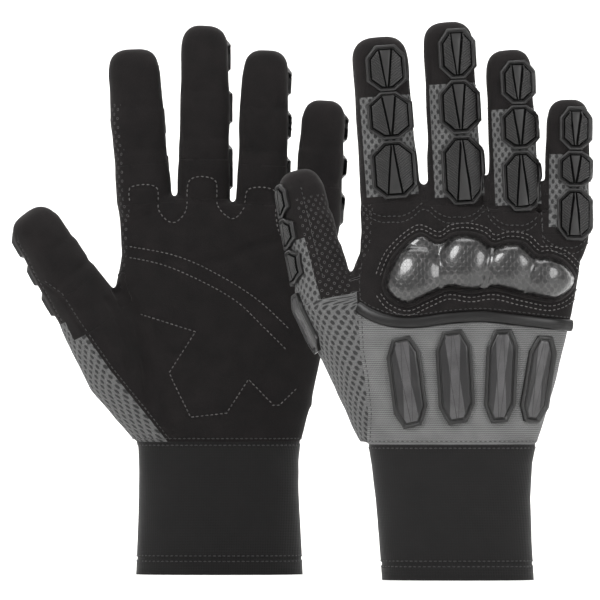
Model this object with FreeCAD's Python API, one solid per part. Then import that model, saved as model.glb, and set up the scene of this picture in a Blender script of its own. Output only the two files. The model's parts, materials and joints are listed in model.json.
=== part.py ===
"""A pair of riding gloves standing on their cuffs: a left glove with its palm forward and a right glove with
its back forward, one standing in front of the other.

Millimetres, +Z up, fingers up. -Y is forward. Each glove is a hollow sewn shell cut into its panels, with the
fingers cut at their bending lines, and the moulded and hard guards stand on the back of it.
The origin is under the middle of the pair, where the hems stand.
"""

import FreeCAD
import Part
import os
from FreeCAD import Vector
from math import cos, pi, radians, sin

# ---- driving dimensions, mm ----
WALL = 2.0  # fabric and lining together
CUFF_WALL = 3.0  # neoprene
HEM_HEIGHT = 8.0
HEM_PROUD = 0.8
PAIR_DEPTH = 136.0  # between the middle planes, so that a bent hand clears the glove in front of it
JOINT_GAP = 0.4  # between the round ends that turn in each other at a bending line
BARREL_SHARE = 1.2  # radius of a bending line's round end, as a share of the half depth there
SECTION_POINTS = 12
SEAM_STEP = 3.5  # a section starts this many points round, clear of the plane that parts palm and back
SECTION_POWER = 2.5  # how square a section's corners are: 2 is an ellipse
ARMOUR_HEIGHT = 3.0  # moulded finger armour above the fabric
PAD_HEIGHT = 3.2  # the pads on the back of the hand
PIPING_HEIGHT = 2.2
FOAM_HEIGHT = 2.0
GUARD_HEIGHT = 8.0  # knuckle guard above the foam under it
BASE_HINGE_UP = 7.5  # a finger's base bending line, above its root
WRIST_HINGE_UP = 13.0  # the wrist's bending line, above the seam between hand and cuff
SECOND_HINGE = 0.40  # along a finger's length
THUMB_HINGE = 0.46  # along the thumb's length
LARGE = 400.0

# Level sections of hand and cuff: height, thumb side, little finger side, half depth.
# Rim: the sewn line where the fingers begin, as (sideways, height).
# A finger: middle of its root, tip, half width at root and tip, half depth at root and tip.
# The thumb's points also say how far they stand towards the palm: a point inside the hand, the base bending
# line and the tip. Its nail is turned from the glove's back to the outside by roll degrees.
LEFT = {
    "name": "left",
    "back": 1,  # the back of the hand faces +Y
    "middle": ((66, -40.0), (190, -35.8)),
    "hand": (
        (66, -81, 0.5, 19.5),
        (84, -94, 6, 19),
        (102, -104, 10, 19),
        (122, -104, 14, 18.5),
        (142, -94, 16, 17.5),
        (162, -90, 18, 16),
        (194, -92.5, 20.5, 13.5),
    ),
    "rim": ((-95, 187), (-63, 189), (-48, 190.5), (-33, 189), (-8, 185), (6, 178), (30, 174)),
    "cuff": ((0, -81.5, 3, 20.5), (33, -81, 0, 20), (66, -81, 0.5, 19.5)),
    "fingers": {
        "index": {"root": (-78, 188), "tip": (-84, 265.5), "width": (14, 13.4), "depth": (11, 10)},
        "middle": {"root": (-48.2, 190.5), "tip": (-47.8, 277), "width": (13.2, 12), "depth": (11, 10)},
        "ring": {"root": (-19.2, 187.5), "tip": (-16.3, 265), "width": (12.8, 11.6), "depth": (10.8, 9.8)},
        "little": {"root": (8.4, 177), "tip": (13.2, 239.5), "width": (12, 11), "depth": (10.2, 9.3)},
    },
    "thumb": {
        "inside": (-88, 3, 106),
        "base": (-107, 6, 134.5),
        "tip": (-138, 13, 182.5),
        "width": (17.2, 11.6),
        "depth": (13.5, 10.4),
        "roll": 48.0,
    },
}
RIGHT = {
    "name": "right",
    "back": -1,  # the back of the hand faces -Y
    "middle": ((66, 76.0), (190, 88.0)),
    "hand": (
        (66, 34.5, 117.5, 19.5),
        (84, 25, 122.5, 19),
        (102, 16, 128, 19),
        (122, 13, 133, 18.5),
        (142, 22, 137, 17.5),
        (162, 31, 140, 16),
        (194, 30.5, 145, 13.5),
    ),
    "rim": ((20, 187), (62, 188), (78, 187.5), (93, 186), (107, 183.5), (120.5, 177), (150, 169)),
    "cuff": ((0, 42, 116, 20.5), (33, 38.5, 114.5, 20), (66, 34.5, 117.5, 19.5)),
    "fingers": {
        "index": {"root": (45.6, 187.5), "tip": (39.6, 268.5), "width": (14.8, 13.8), "depth": (11, 10)},
        "middle": {"root": (78, 187), "tip": (73.2, 276), "width": (13.9, 12.2), "depth": (11, 10)},
        "ring": {"root": (107, 183), "tip": (103.4, 262.5), "width": (12.6, 11.6), "depth": (10.8, 9.8)},
        "little": {"root": (132.2, 172), "tip": (133, 238), "width": (11.3, 10.6), "depth": (10.2, 9.3)},
    },
    "thumb": {
        "inside": (22, 3, 112),
        "base": (12, 6, 146),
        "tip": (-1.5, 13, 202.5),
        "width": (15.6, 11.8),
        "depth": (13.2, 10.4),
        "roll": 78.0,
    },
}
GLOVES = (LEFT, RIGHT)

# On the back of the hand, sideways from its middle line towards the little finger, and height.
PIPING_Z = 127.5
PIPING_BAND = 6.0
MESH_EDGE = ((50, 2.0), (80, 6.0), (124, 15.0), (146, 4.0))  # height, and how far the side mesh reaches in
GUARD_LOBES = (
    (-27.5, 148.0, 13.5, 11.0),
    (-23.0, 159.5, 11.5, 10.0),
    (-1.5, 157.5, 13.5, 13.0),
    (21.0, 155.0, 12.0, 11.5),
    (40.0, 149.2, 11.8, 10.0),
)
BACK_PADS = (
    (-25.8, 98.0, 8.2, 22.7, -13.0),
    (-2.3, 100.5, 8.8, 23.2, -9.0),
    (20.2, 101.0, 7.6, 23.0, -3.0),
    (38.5, 99.5, 6.6, 21.3, 4.0),
)
THUMB_ROOT_PAD = (-17.0, 8.0, 15.0)  # middle, along the thumb from its base line, half width and half length
ARMOUR_SHARE = 0.72  # half width of the finger armour, as a share of the finger's
ARMOUR_STOPS = (0.05, 0.315, 0.62, 0.955)  # ends and waists of the finger armour along the finger
THUMB_STOPS = (0.04, 0.34, 0.9)
# height below the tip, share of the section there
TIP_SHAPE = ((12.0, 1.0), (6.5, 0.93), (2.6, 0.74), (0.7, 0.48), (0.0, 0.3))


# ---- sections and solids ----
def place(x, y, z):
    return Vector(float(x), float(y), float(z))


def section(centre, across, nail, half_width, half_depth):
    """A closed rounded outline around centre, in the plane of two directions."""
    points = []
    power = 2.0 / SECTION_POWER
    for step in range(SECTION_POINTS):
        turn = 2 * pi * (step + SEAM_STEP) / SECTION_POINTS
        u = half_width * abs(cos(turn)) ** power * (1 if cos(turn) >= 0 else -1)
        v = half_depth * abs(sin(turn)) ** power * (1 if sin(turn) >= 0 else -1)
        points.append(centre + across * u + nail * v)
    curve = Part.BSplineCurve()
    curve.interpolate(points, PeriodicFlag=True)
    return Part.Wire([curve.toShape()])


def loft(wires):
    return Part.makeLoft(wires, True, True)


def block(corner, first, second, third):
    """A box with one corner and its three edges as vectors."""
    ring = [corner, corner + first, corner + first + second, corner + second, corner]
    return Part.Face(Part.makePolygon(ring)).extrude(third)


def extruded(points, direction):
    return Part.Face(Part.makePolygon(points + points[:1])).extrude(direction)


def slab(low, high):
    return Part.makeBox(2 * LARGE, 2 * LARGE, high - low, place(-LARGE, -LARGE, low))


def biggest(shape):
    return max(shape.Solids, key=lambda solid: solid.Volume)


def depth_plane(glove):
    """Where the glove's middle plane lies in Y: the left glove stands behind the right one."""
    return glove["back"] * PAIR_DEPTH / 2


def middle_x(glove, z):
    (z0, x0), (z1, x1) = glove["middle"]
    return x0 + (x1 - x0) * (z - z0) / (z1 - z0)


def level_body(glove, levels, grow, spread=0.0):
    """The solid through a list of level sections, grown all round, and made longer by spread at both ends."""
    y = depth_plane(glove)
    heights = [level[0] for level in levels]
    heights[0] -= spread
    heights[-1] += spread
    wires = []
    for z, (_, x0, x1, half_depth) in zip(heights, levels):
        centre = place((x0 + x1) / 2, y, z)
        half_width = (x1 - x0) / 2 + grow
        wires.append(section(centre, Vector(1, 0, 0), Vector(0, 1, 0), half_width, half_depth + grow))
    return loft(wires)


class Finger:
    """A straight finger: its root, direction, nail side, sizes along it and its two bending lines."""

    def __init__(self, glove, name, dims):
        palm = Vector(0, -glove["back"], 0)
        plane = depth_plane(glove)
        self.name = name
        self.dims = dims
        self.is_thumb = name == "thumb"
        if self.is_thumb:
            given = (dims["inside"], dims["base"], dims["tip"])
            spots = [place(x, plane + palm.y * depth, z) for x, depth, z in given]
            self.inside, self.root, self.tip = spots
        else:
            self.root, self.tip = [place(x, plane, z) for x, z in (dims["root"], dims["tip"])]
        self.length = (self.tip - self.root).Length
        self.along = (self.tip - self.root).normalize()
        roll = radians(dims.get("roll", 0.0))
        rough = palm * -cos(roll) + Vector(-1, 0, 0) * sin(roll)
        self.nail = (rough - self.along * rough.dot(self.along)).normalize()
        # Turning by the right hand about this axis carries the finger towards its pad.
        self.axis = self.nail.cross(self.along).normalize()
        share = THUMB_HINGE if self.is_thumb else SECOND_HINGE
        self.hinges = (0.0 if self.is_thumb else BASE_HINGE_UP, share * self.length)

    def at(self, s):
        return self.root + self.along * s

    def sizes(self, s):
        share = min(s / self.length, 1.0)
        (w0, w1), (d0, d1) = self.dims["width"], self.dims["depth"]
        return w0 + (w1 - w0) * share, d0 + (d1 - d0) * share

    def wire(self, s, grow, share=1.0):
        w, d = self.sizes(s)
        return section(self.at(s), self.axis, self.nail, (w + grow) * share, (d + grow) * share)

    def body(self, grow, start):
        """The finger's outer form grown by grow, from start along it to its closed tip."""
        end = self.length + min(grow, 0.0)
        wires = [self.wire(start, grow)]
        wires += [self.wire(end - below, grow, share) for below, share in TIP_SHAPE]
        return loft(wires)

    def barrel_radius(self, which):
        return self.sizes(self.hinges[which])[1] * BARREL_SHARE

    def barrel(self, which, extra=0.0):
        s = self.hinges[which]
        half = self.sizes(s)[0] + 0.6
        radius = self.barrel_radius(which) + extra
        return Part.makeCylinder(radius, 2 * half, self.at(s) - self.axis * half, self.axis, 360)

    def beyond(self, s, reach=160.0, half=40.0):
        """A block that holds everything past s along the finger."""
        corner = self.at(s) - self.axis * half - self.nail * half
        return block(corner, self.axis * 2 * half, self.nail * 2 * half, self.along * reach)

    def prism(self, outline, height=40.0):
        """A block on the nail side whose outline is in (across, along)."""
        return extruded([self.root + self.axis * u + self.along * v for u, v in outline], self.nail * height)


def hexagon(u0, v0, half_width, half_length, lean=0.0, shoulder=0.62, end=0.52):
    """A long hexagon with blunt ends, turned by lean degrees, as (across, along) points."""
    corners = (
        (-end * half_width, -half_length),
        (end * half_width, -half_length),
        (half_width, -shoulder * half_length),
        (half_width, shoulder * half_length),
        (end * half_width, half_length),
        (-end * half_width, half_length),
        (-half_width, shoulder * half_length),
        (-half_width, -shoulder * half_length),
    )
    a = radians(lean)
    return [(u0 + u * cos(a) + v * sin(a), v0 - u * sin(a) + v * cos(a)) for u, v in corners]


# ---- the sewn shell of the hand and cuff ----
def make_fingers(glove):
    fingers = {name: Finger(glove, name, dims) for name, dims in glove["fingers"].items()}
    fingers["thumb"] = Finger(glove, "thumb", glove["thumb"])
    return fingers


def thumb_root(thumb, grow):
    """The wide root of the thumb, from inside the hand to its base bending line."""
    w, d = thumb.sizes(0)
    start = section(thumb.inside, thumb.axis, thumb.nail, w + 1.5 + grow, d + 2.0 + grow)
    return loft([start, thumb.wire(0, grow), thumb.wire(4.0, grow)])


def wrist_height(glove):
    return glove["hand"][0][0] + WRIST_HINGE_UP


def wrist_barrel(glove, extra=0.0):
    """The round end on which the hand turns on its cuff."""
    z, x0, x1, half_depth = glove["hand"][0]
    margin = 20.0
    start = place(x0 - margin, depth_plane(glove), wrist_height(glove))
    radius = half_depth * BARREL_SHARE + extra
    return Part.makeCylinder(radius, x1 - x0 + 2 * margin, start, Vector(1, 0, 0), 360)


def back_half(glove):
    """Everything on the glove's back side of its middle plane."""
    back = Vector(0, glove["back"], 0)
    corner = place(-LARGE, depth_plane(glove), -LARGE)
    return block(corner, Vector(2 * LARGE, 0, 0), Vector(0, 0, 2 * LARGE), back * LARGE)


def below_rim(glove):
    """Everything under the line where the fingers begin."""
    rim = glove["rim"]
    outline = [(rim[0][0] - 30, 0), (rim[0][0] - 30, rim[0][1]), *rim, (rim[-1][0], 0)]
    y = depth_plane(glove) - 60
    return extruded([place(x, y, z) for x, z in outline], Vector(0, 120, 0))


def mesh_region(glove):
    """The thumb side of the back of the hand, which the side mesh covers."""
    levels = glove["hand"]
    sides = []
    for z, reach in MESH_EDGE:
        height = max(z, levels[0][0])
        low, high = next(pair for pair in zip(levels, levels[1:]) if pair[0][0] <= height <= pair[1][0])
        share = (height - low[0]) / (high[0] - low[0])
        sides.append((low[1] + (high[1] - low[1]) * share + reach, z))
    left = sides[0][0] - 120
    outline = [(left, sides[0][1]), *sides, (left, sides[-1][1])]
    y = depth_plane(glove)
    return extruded([place(x, y, z) for x, z in outline], Vector(0, glove["back"] * 80, 0))


def make_hand(glove, fingers):
    """The hand's four panels, with sockets for the fingers and thumb and a round lower end in the cuff."""
    thumb = fingers["thumb"]
    levels = glove["cuff"][1:2] + glove["hand"]
    whole = level_body(glove, levels, 0.0).fuse(thumb_root(thumb, 0.0))
    holes = [level_body(glove, levels, -WALL, 6.0), thumb_root(thumb, -WALL)]
    holes += [finger.barrel(0, JOINT_GAP) for finger in fingers.values()]
    holes.append(thumb.body(JOINT_GAP, 0.0))
    keep = slab(wrist_height(glove), LARGE).fuse(wrist_barrel(glove))
    shell = biggest(whole.cut(holes).common(below_rim(glove)).common(keep))
    back = back_half(glove)
    mesh_side = mesh_region(glove)
    rear = shell.common(back)
    rest = rear.cut(mesh_side)
    return whole, {
        "palm_panel": shell.cut(back),
        "side_mesh_panel": rear.common(mesh_side),
        "knuckle_panel": rest.common(slab(PIPING_Z, LARGE)),
        "back_panel": rest.common(slab(0, PIPING_Z)),
    }


def make_cuff(glove):
    """The neoprene sleeve, whose upper end leaves room for the hand's round end, and its sewn hem."""
    levels = glove["cuff"] + glove["hand"][1:3]
    hollow = level_body(glove, levels, -CUFF_WALL, 1.0)
    keep = slab(HEM_HEIGHT, wrist_height(glove)).cut(wrist_barrel(glove, JOINT_GAP))
    sleeve = level_body(glove, levels, 0.0).cut(hollow).common(keep)
    hem = level_body(glove, glove["cuff"], HEM_PROUD).common(slab(0, HEM_HEIGHT)).cut(hollow)
    return {"cuff_sleeve": sleeve, "cuff_hem": hem}


# ---- what stands on the back of the hand ----
def upright_prism(glove, outline):
    """A block through the back of the hand whose outline is in (sideways from the middle line, height)."""
    y = depth_plane(glove)
    points = [place(middle_x(glove, z) + u, y, z) for u, z in outline]
    return extruded(points, Vector(0, glove["back"] * 60, 0))


def lobes(glove, grow):
    blocks = []
    for u, z, half_width, half_height in GUARD_LOBES:
        turns = [2 * pi * k / 16 for k in range(16)]
        outline = [(u + (half_width + grow) * cos(t), z + (half_height + grow) * sin(t)) for t in turns]
        blocks.append(upright_prism(glove, outline))
    return blocks[0].multiFuse(blocks[1:])


def make_guards(glove, fingers, whole):
    """Foam, hard knuckle guard, piping and moulded pads."""
    forms = {
        grow: level_body(glove, glove["hand"], grow)
        for grow in (0.0, FOAM_HEIGHT, PIPING_HEIGHT, PAD_HEIGHT, FOAM_HEIGHT + GUARD_HEIGHT)
    }
    pads = []
    for u, z, half_width, half_length, lean in BACK_PADS:
        pad = upright_prism(glove, hexagon(u, z, half_width, half_length, lean)).common(forms[PAD_HEIGHT])
        pads.append(biggest(pad.cut(whole)))
    thumb = fingers["thumb"]
    along, half_width, half_length = THUMB_ROOT_PAD
    root_pad = thumb.prism(hexagon(0, along, half_width, half_length)).common(thumb_root(thumb, PAD_HEIGHT))
    turning = [thumb.barrel(0, JOINT_GAP), thumb.body(JOINT_GAP, 0.0)]
    pads.append(biggest(root_pad.cut([whole, *turning])))
    low, high = PIPING_Z - PIPING_BAND / 2, PIPING_Z + PIPING_BAND / 2
    side = mesh_region(glove)
    band = forms[PIPING_HEIGHT].cut([whole, side]).common([slab(low, high)]).common(back_half(glove))
    guard = lobes(glove, 0.0).common(forms[FOAM_HEIGHT + GUARD_HEIGHT])
    return {
        "guard_foam": biggest(lobes(glove, 1.6).common(forms[FOAM_HEIGHT]).cut(whole)),
        "knuckle_guard": biggest(guard.cut(forms[FOAM_HEIGHT])),
        "piping": biggest(band.cut(pads[:4])),
        "moulded_pads": Part.makeCompound(pads),
    }


# ---- the fingers ----
def make_finger(finger):
    """Two sleeves and their armour: the lower pair turns at the root, the upper pair at the second line."""
    outer = finger.body(0.0, -14.0)
    hollow = outer.cut(finger.body(-WALL, -15.0))
    first, second = finger.hinges
    lower = hollow.common(finger.beyond(first, second - first).fuse(finger.barrel(0)))
    upper = hollow.common(finger.beyond(second).fuse(finger.barrel(1)))
    armour = make_armour(finger, finger.body(ARMOUR_HEIGHT, -14.0), outer)
    lower = lower.cut(finger.barrel(1, JOINT_GAP))
    return {"lower_sleeve": biggest(lower), "upper_sleeve": biggest(upper), **armour}


def make_armour(finger, form, outer):
    """The moulded plates on a finger: one on the lower sleeve, and a waisted pair on the upper one."""
    stops = THUMB_STOPS if finger.is_thumb else ARMOUR_STOPS
    plates = []
    for start, end in zip(stops, stops[1:]):
        half_width = finger.sizes(finger.length * (start + end) / 2)[0] * ARMOUR_SHARE
        middle = finger.length * (start + end) / 2
        half_length = finger.length * (end - start) / 2
        plates.append(finger.prism(hexagon(0, middle, half_width, half_length)))
    lower = plates[0].common(finger.beyond(0, stops[1] * finger.length - 0.2))
    lower = lower.cut(finger.barrel(1, JOINT_GAP))
    upper = plates[1]
    if len(plates) > 2:
        waist = hexagon(0, stops[2] * finger.length, finger.sizes(0)[0] * 0.4, 3.0, 0, 0.8, 0.9)
        upper = plates[1].multiFuse([plates[2], finger.prism(waist)])
    upper = upper.common(finger.beyond(stops[1] * finger.length + 0.2))
    made = {"lower_armour": lower, "upper_armour": upper}
    return {name: biggest(piece.common(form).cut(outer)) for name, piece in made.items()}


# ---- the pair ----
def make_glove(glove):
    fingers = make_fingers(glove)
    whole, pieces = make_hand(glove, fingers)
    pieces |= make_cuff(glove)
    pieces |= make_guards(glove, fingers, whole)
    for name, finger in fingers.items():
        pieces |= {f"{name}_{piece}": shape for piece, shape in make_finger(finger).items()}
    return {f"{glove['name']}_{name}": shape for name, shape in pieces.items()}


def make_pair():
    nodes = {}
    for glove in GLOVES:
        nodes |= make_glove(glove)
    return nodes


def pair_shift(nodes):
    """What brings the middle of the pair's footprint over the origin."""
    box = Part.makeCompound(list(nodes.values())).optimalBoundingBox()
    return Vector(-(box.XMin + box.XMax) / 2, -(box.YMin + box.YMax) / 2, -box.ZMin)


if __name__ == "__main__":
    os.makedirs("parts", exist_ok=True)
    made = make_pair()
    shift = pair_shift(made)
    print("moved by", shift)
    for node, shape in made.items():
        solids = [solid for solid in shape.Solids if solid.Volume > 1.0]
        out = solids[0] if len(solids) == 1 else Part.makeCompound(solids)
        out.translate(shift)
        out.exportStep(f"parts/{node}.step")
        print(node, len(solids), all(s.isValid() for s in solids), round(sum(s.Volume for s in solids)))
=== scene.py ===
import json
import math
import bmesh
import bpy
import numpy as np
from mathutils import Matrix, Vector, noise
from mathutils.bvhtree import BVHTree
from mathutils.kdtree import KDTree


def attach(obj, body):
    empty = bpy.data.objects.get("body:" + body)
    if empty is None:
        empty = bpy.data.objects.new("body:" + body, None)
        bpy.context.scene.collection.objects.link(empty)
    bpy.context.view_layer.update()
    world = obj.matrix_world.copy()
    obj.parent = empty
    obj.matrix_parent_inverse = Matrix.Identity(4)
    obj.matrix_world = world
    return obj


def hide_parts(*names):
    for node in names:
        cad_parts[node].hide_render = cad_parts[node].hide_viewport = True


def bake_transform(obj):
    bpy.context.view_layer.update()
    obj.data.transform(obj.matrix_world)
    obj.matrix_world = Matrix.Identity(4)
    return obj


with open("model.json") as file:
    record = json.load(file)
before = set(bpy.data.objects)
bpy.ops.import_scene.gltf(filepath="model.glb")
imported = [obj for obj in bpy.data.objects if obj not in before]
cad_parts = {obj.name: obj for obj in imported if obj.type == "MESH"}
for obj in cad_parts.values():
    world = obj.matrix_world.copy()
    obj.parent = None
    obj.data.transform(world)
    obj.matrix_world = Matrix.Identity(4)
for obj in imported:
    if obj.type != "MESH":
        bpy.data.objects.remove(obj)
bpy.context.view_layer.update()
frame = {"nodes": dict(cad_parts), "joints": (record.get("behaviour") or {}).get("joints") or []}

mm = 0.001
jointOf = {j["name"]: j for j in frame["joints"]}
nodes = frame["nodes"]
fingerNames = ("index", "middle", "ring", "little", "thumb")

# the two gloves, mm; x is counted from the wrist joint, z from the hem
# rings: height, thumb side, little finger side, half depth
# width and depth: half sizes of a finger at its root and near its tip
# middle: the line down the back of the hand that everything sewn to it is placed from
gloves = {
    "left": {
        "back": 1,
        "rings": (
            (-4, -42.3, 42.3, 20.3), (18, -41.3, 41.3, 20.2), (40, -40.7, 40.2, 20.0),
            (58, -40.8, 40.2, 19.3),
            (66, -41.2, 41.0, 18.8), (76, -47.0, 43.6, 19.2), (86, -54.5, 46.6, 19.4),
            (102, -63.5, 50.3, 19.2),
            (122, -62.0, 54.0, 18.6), (142, -53.0, 56.3, 17.6), (162, -49.6, 58.3, 15.6),
            (178, -50.2, 59.4, 13.4),
            (187, -51.2, 59.9, 12.0),
        ),
        "topSlope": -0.10,
        "middle": ((66, 0.2), (190, 4.4)),
        "width": {"index": (14.0, 13.5), "middle": (13.3, 12.1), "ring": (12.8, 11.7), "little": (12.1, 11.1),
                  "thumb": (17.0, 12.2)},
        "depth": {"index": (11.6, 10.0), "middle": (11.6, 10.0), "ring": (11.3, 9.8), "little": (10.7, 9.2),
                  "thumb": (13.8, 10.6)},
        "thumbHeel": ((-27, 72, 13, 16), (-48, 105, 20.5, 17.5)),
        "webs": (),
    },
    "right": {
        "back": -1,
        "rings": (
            (-4, -34.5, 40.4, 20.3), (18, -36.2, 39.3, 20.2), (40, -38.2, 38.6, 20.0),
            (58, -40.3, 39.6, 19.3),
            (66, -41.6, 41.4, 18.8), (76, -46.5, 44.4, 19.2), (86, -51.6, 47.2, 19.4),
            (102, -59.5, 52.0, 19.2),
            (122, -62.8, 57.0, 18.6), (142, -54.0, 61.0, 17.6), (162, -45.6, 64.0, 15.6),
            (176, -45.0, 67.2, 13.4),
            (184, -45.4, 68.8, 12.0),
        ),
        "topSlope": -0.16,
        "middle": ((66, 0.0), (190, 12.0)),
        "width": {"index": (14.8, 13.9), "middle": (14.0, 12.3), "ring": (12.7, 11.7), "little": (11.5, 10.8),
                  "thumb": (15.8, 12.2)},
        "depth": {"index": (11.6, 10.0), "middle": (11.6, 10.0), "ring": (11.3, 9.8), "little": (10.7, 9.2),
                  "thumb": (13.6, 10.6)},
        "thumbHeel": ((-30, 72, 12, 16), (-43, 104, 18.5, 17.5)),
        "webs": ((-13.8, 195.5, 6.0), (17.3, 200.0, 4.5), (44.8, 197.0, 4.5)),
    },
}
skinSizes = {"voxel": 1.0, "smoothing": 5, "wall": 1.4, "ringPoints": 40,
             "power": 2.45}
baseUp = 7.5  # a finger's base bending line above its root
wristSeam = 67.0


# small helpers
def hexColor(text):
    parts = [int(text[k:k + 2], 16) / 255 for k in (0, 2, 4)]
    return tuple(c / 12.92 if c <= 0.04045 else ((c + 0.055) / 1.055) ** 2.4 for c in parts) + (1.0,)


def newObject(name, bm, materials, smoothAngle=None):
    # everything is modelled in millimetres and becomes metres here
    bmesh.ops.scale(bm, vec=(mm, mm, mm), verts=bm.verts)
    mesh = bpy.data.meshes.new(name)
    bm.to_mesh(mesh)
    bm.free()
    for material in materials:
        mesh.materials.append(material)
    obj = bpy.data.objects.new(name, mesh)
    bpy.context.scene.collection.objects.link(obj)
    mesh.polygons.foreach_set("use_smooth", [True] * len(mesh.polygons))
    if smoothAngle:
        mesh.set_sharp_from_angle(angle=math.radians(smoothAngle))
    return obj


def applyModifiers(obj):
    bpy.context.view_layer.update()
    done = bpy.data.meshes.new_from_object(obj.evaluated_get(bpy.context.evaluated_depsgraph_get()))
    obj.modifiers.clear()
    old = obj.data
    obj.data = done
    bpy.data.meshes.remove(old)


def vertexArray(mesh, what="co"):
    values = np.empty(len(mesh.vertices) * 3)
    mesh.vertices.foreach_get(what, values)
    return values.reshape(-1, 3)


def keepPlace(obj, name, values):
    # a vector on each vertex, which stays put when the piece bends
    old = obj.data.attributes.get(name)
    if old:
        obj.data.attributes.remove(old)
    layer = obj.data.attributes.new(name, "FLOAT_VECTOR", "POINT")
    layer.data.foreach_set("vector", np.asarray(values, dtype=np.float32).ravel())


def keepRest(obj):
    keepPlace(obj, "restPlace", vertexArray(obj.data) / mm)


def smoothLine(points, step=1.0, closed=False):
    # Catmull-Rom through given points, resampled about every step
    pts = [Vector(p) for p in points]
    count = len(pts)
    out = []
    spans = count if closed else count - 1
    for i in range(spans):
        if closed:
            a, b, c, d = (pts[(i + k) % count] for k in (-1, 0, 1, 2))
        else:
            a, b, c, d = pts[max(i - 1, 0)], pts[i], pts[i + 1], pts[min(i + 2, count - 1)]
        pieces = max(2, int((c - b).length / step))
        for k in range(pieces):
            t = k / pieces
            out.append(0.5 * (2 * b + (c - a) * t + (2 * a - 5 * b + 4 * c - d) * t * t
                              + (3 * b - a - 3 * c + d) * t ** 3))
    if not closed:
        out.append(pts[-1])
    return out


def placeMatrix(origin, x, y, z):
    placed = Matrix((x, y, z)).transposed().to_4x4()
    placed.translation = origin
    return placed


def stationMatrix(centre, across, nail, halfWidth, halfDepth):
    along = across.cross(nail).normalized()
    return placeMatrix(centre, across * halfWidth, nail * halfDepth, along)


def ringTube(bm, stations, points, power=2.0):
    # a closed tube: one rounded ring, extruded and moved from station to station
    ring = bmesh.ops.create_circle(bm, cap_ends=False, segments=points, radius=1.0)["verts"]
    for v in ring:
        v.co.x = math.copysign(abs(v.co.x) ** (2 / power), v.co.x)
        v.co.y = math.copysign(abs(v.co.y) ** (2 / power), v.co.y)
    edges = list({e for v in ring for e in v.link_edges})
    bmesh.ops.transform(bm, matrix=stations[0], verts=ring)
    bmesh.ops.edgeloop_fill(bm, edges=edges)
    for before, after in zip(stations, stations[1:]):
        out = bmesh.ops.extrude_edge_only(bm, edges=edges)["geom"]
        fresh = {g for g in out if isinstance(g, bmesh.types.BMVert)}
        edges = [g for g in out if isinstance(g, bmesh.types.BMEdge) and set(g.verts) <= fresh]
        bmesh.ops.transform(bm, matrix=after @ before.inverted(), verts=list(fresh))
    bmesh.ops.edgeloop_fill(bm, edges=edges)


# where things are, read from the frame
def readFinger(side, name):
    base, second = jointOf[f"{side}_{name}_base_bend"], jointOf[f"{side}_{name}_tip_bend"]
    start, bend = Vector(base["pos_m"]) / mm, Vector(second["pos_m"]) / mm
    along = (bend - start).normalized()
    across = Vector(base["axis"]).normalized()
    root = start - along * (0 if name == "thumb" else baseUp)
    upper = nodes[f"{side}_{name}_upper_sleeve"].data
    reach = max((Vector(v.co) / mm - root).dot(along) for v in upper.vertices)
    spec = gloves[side]
    return {"side": side, "name": name, "root": root, "along": along, "across": across,
            "nail": along.cross(across).normalized(), "length": reach, "second": (bend - root).length,
            "width": spec["width"][name], "depth": spec["depth"][name], "thumb": name == "thumb"}


def fingerSize(finger, s):
    t = min(max(s / finger["length"], -0.2), 1.0)
    (w0, w1), (d0, d1) = finger["width"], finger["depth"]
    return w0 + (w1 - w0) * t, d0 + (d1 - d0) * t


def fingerStation(finger, s, share=1.0, deep=1.0):
    w, d = fingerSize(finger, s)
    return stationMatrix(finger["root"] + finger["along"] * s, finger["across"], finger["nail"],
                         w * share, d * share * deep)


def readGlove(side):
    spec = gloves[side]
    wrist = Vector(jointOf[f"{side}_wrist_flex"]["pos_m"]) / mm
    fingers = {name: readFinger(side, name) for name in fingerNames}
    return {"side": side, "x": wrist.x, "y": wrist.y, "back": spec["back"], "spec": spec, "fingers": fingers}


def middleX(glove, z):
    (z0, x0), (z1, x1) = glove["spec"]["middle"]
    return glove["x"] + x0 + (x1 - x0) * (z - z0) / (z1 - z0)


# the sewn skin: rings and tubes made one by a fine remesh
def handStations(glove):
    stations = []
    for z, low, high, deep in glove["spec"]["rings"]:
        centre = Vector((glove["x"] + (low + high) / 2, glove["y"], z))
        stations.append(stationMatrix(centre, Vector((1, 0, 0)), Vector((0, 1, 0)), (high - low) / 2, deep))
    z, low, high, deep = glove["spec"]["rings"][-1]
    lean = glove["spec"]["topSlope"]
    for lift, narrow, share in ((-0.5, 0.98, 0.9), (1.0, 0.96, 0.74)):
        across = Vector((1, 0, lean)).normalized()
        centre = Vector((glove["x"] + (low + high) / 2, glove["y"], z + lift))
        half = (high - low) / 2 * narrow
        stations.append(stationMatrix(centre, across, Vector((0, 1, 0)), half, deep * share))
    return stations


def thumbStations(glove):
    # the heel of the thumb runs from the wrist into the thumb itself
    thumb = glove["fingers"]["thumb"]
    stations = []
    for x, z, halfWidth, halfDepth in glove["spec"]["thumbHeel"]:
        centre = Vector((glove["x"] + x, glove["y"] + (thumb["root"].y - glove["y"]) * 0.5, z))
        stations.append(stationMatrix(centre, thumb["across"], thumb["nail"], halfWidth, halfDepth))
    return stations + [fingerStation(thumb, -9, 1.04, 1.05)]


# a finger's rings: (place, size, depth) inside the hand, (share of its length, size) up to the tip, and
# (mm below the tip, size) where it rounds off; the webs close the narrow gap between two fingers
fingerForm = {"buried": ((-13, 0.72, 0.8), (-4, 0.95, 1.0)),
              "swell": ((0.0, 1.0), (0.16, 1.0), (0.34, 0.975), (0.52, 1.0), (0.68, 0.975), (0.82, 0.99)),
              "tip": ((9.0, 0.965), (5.6, 0.90), (3.0, 0.78), (1.2, 0.60), (0.2, 0.36)),
              "web": ((22, 0.9), (4, 1.0), (1.5, 0.85), (0, 0.4)), "webDepth": 9.0, "past": 1.0}


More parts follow.
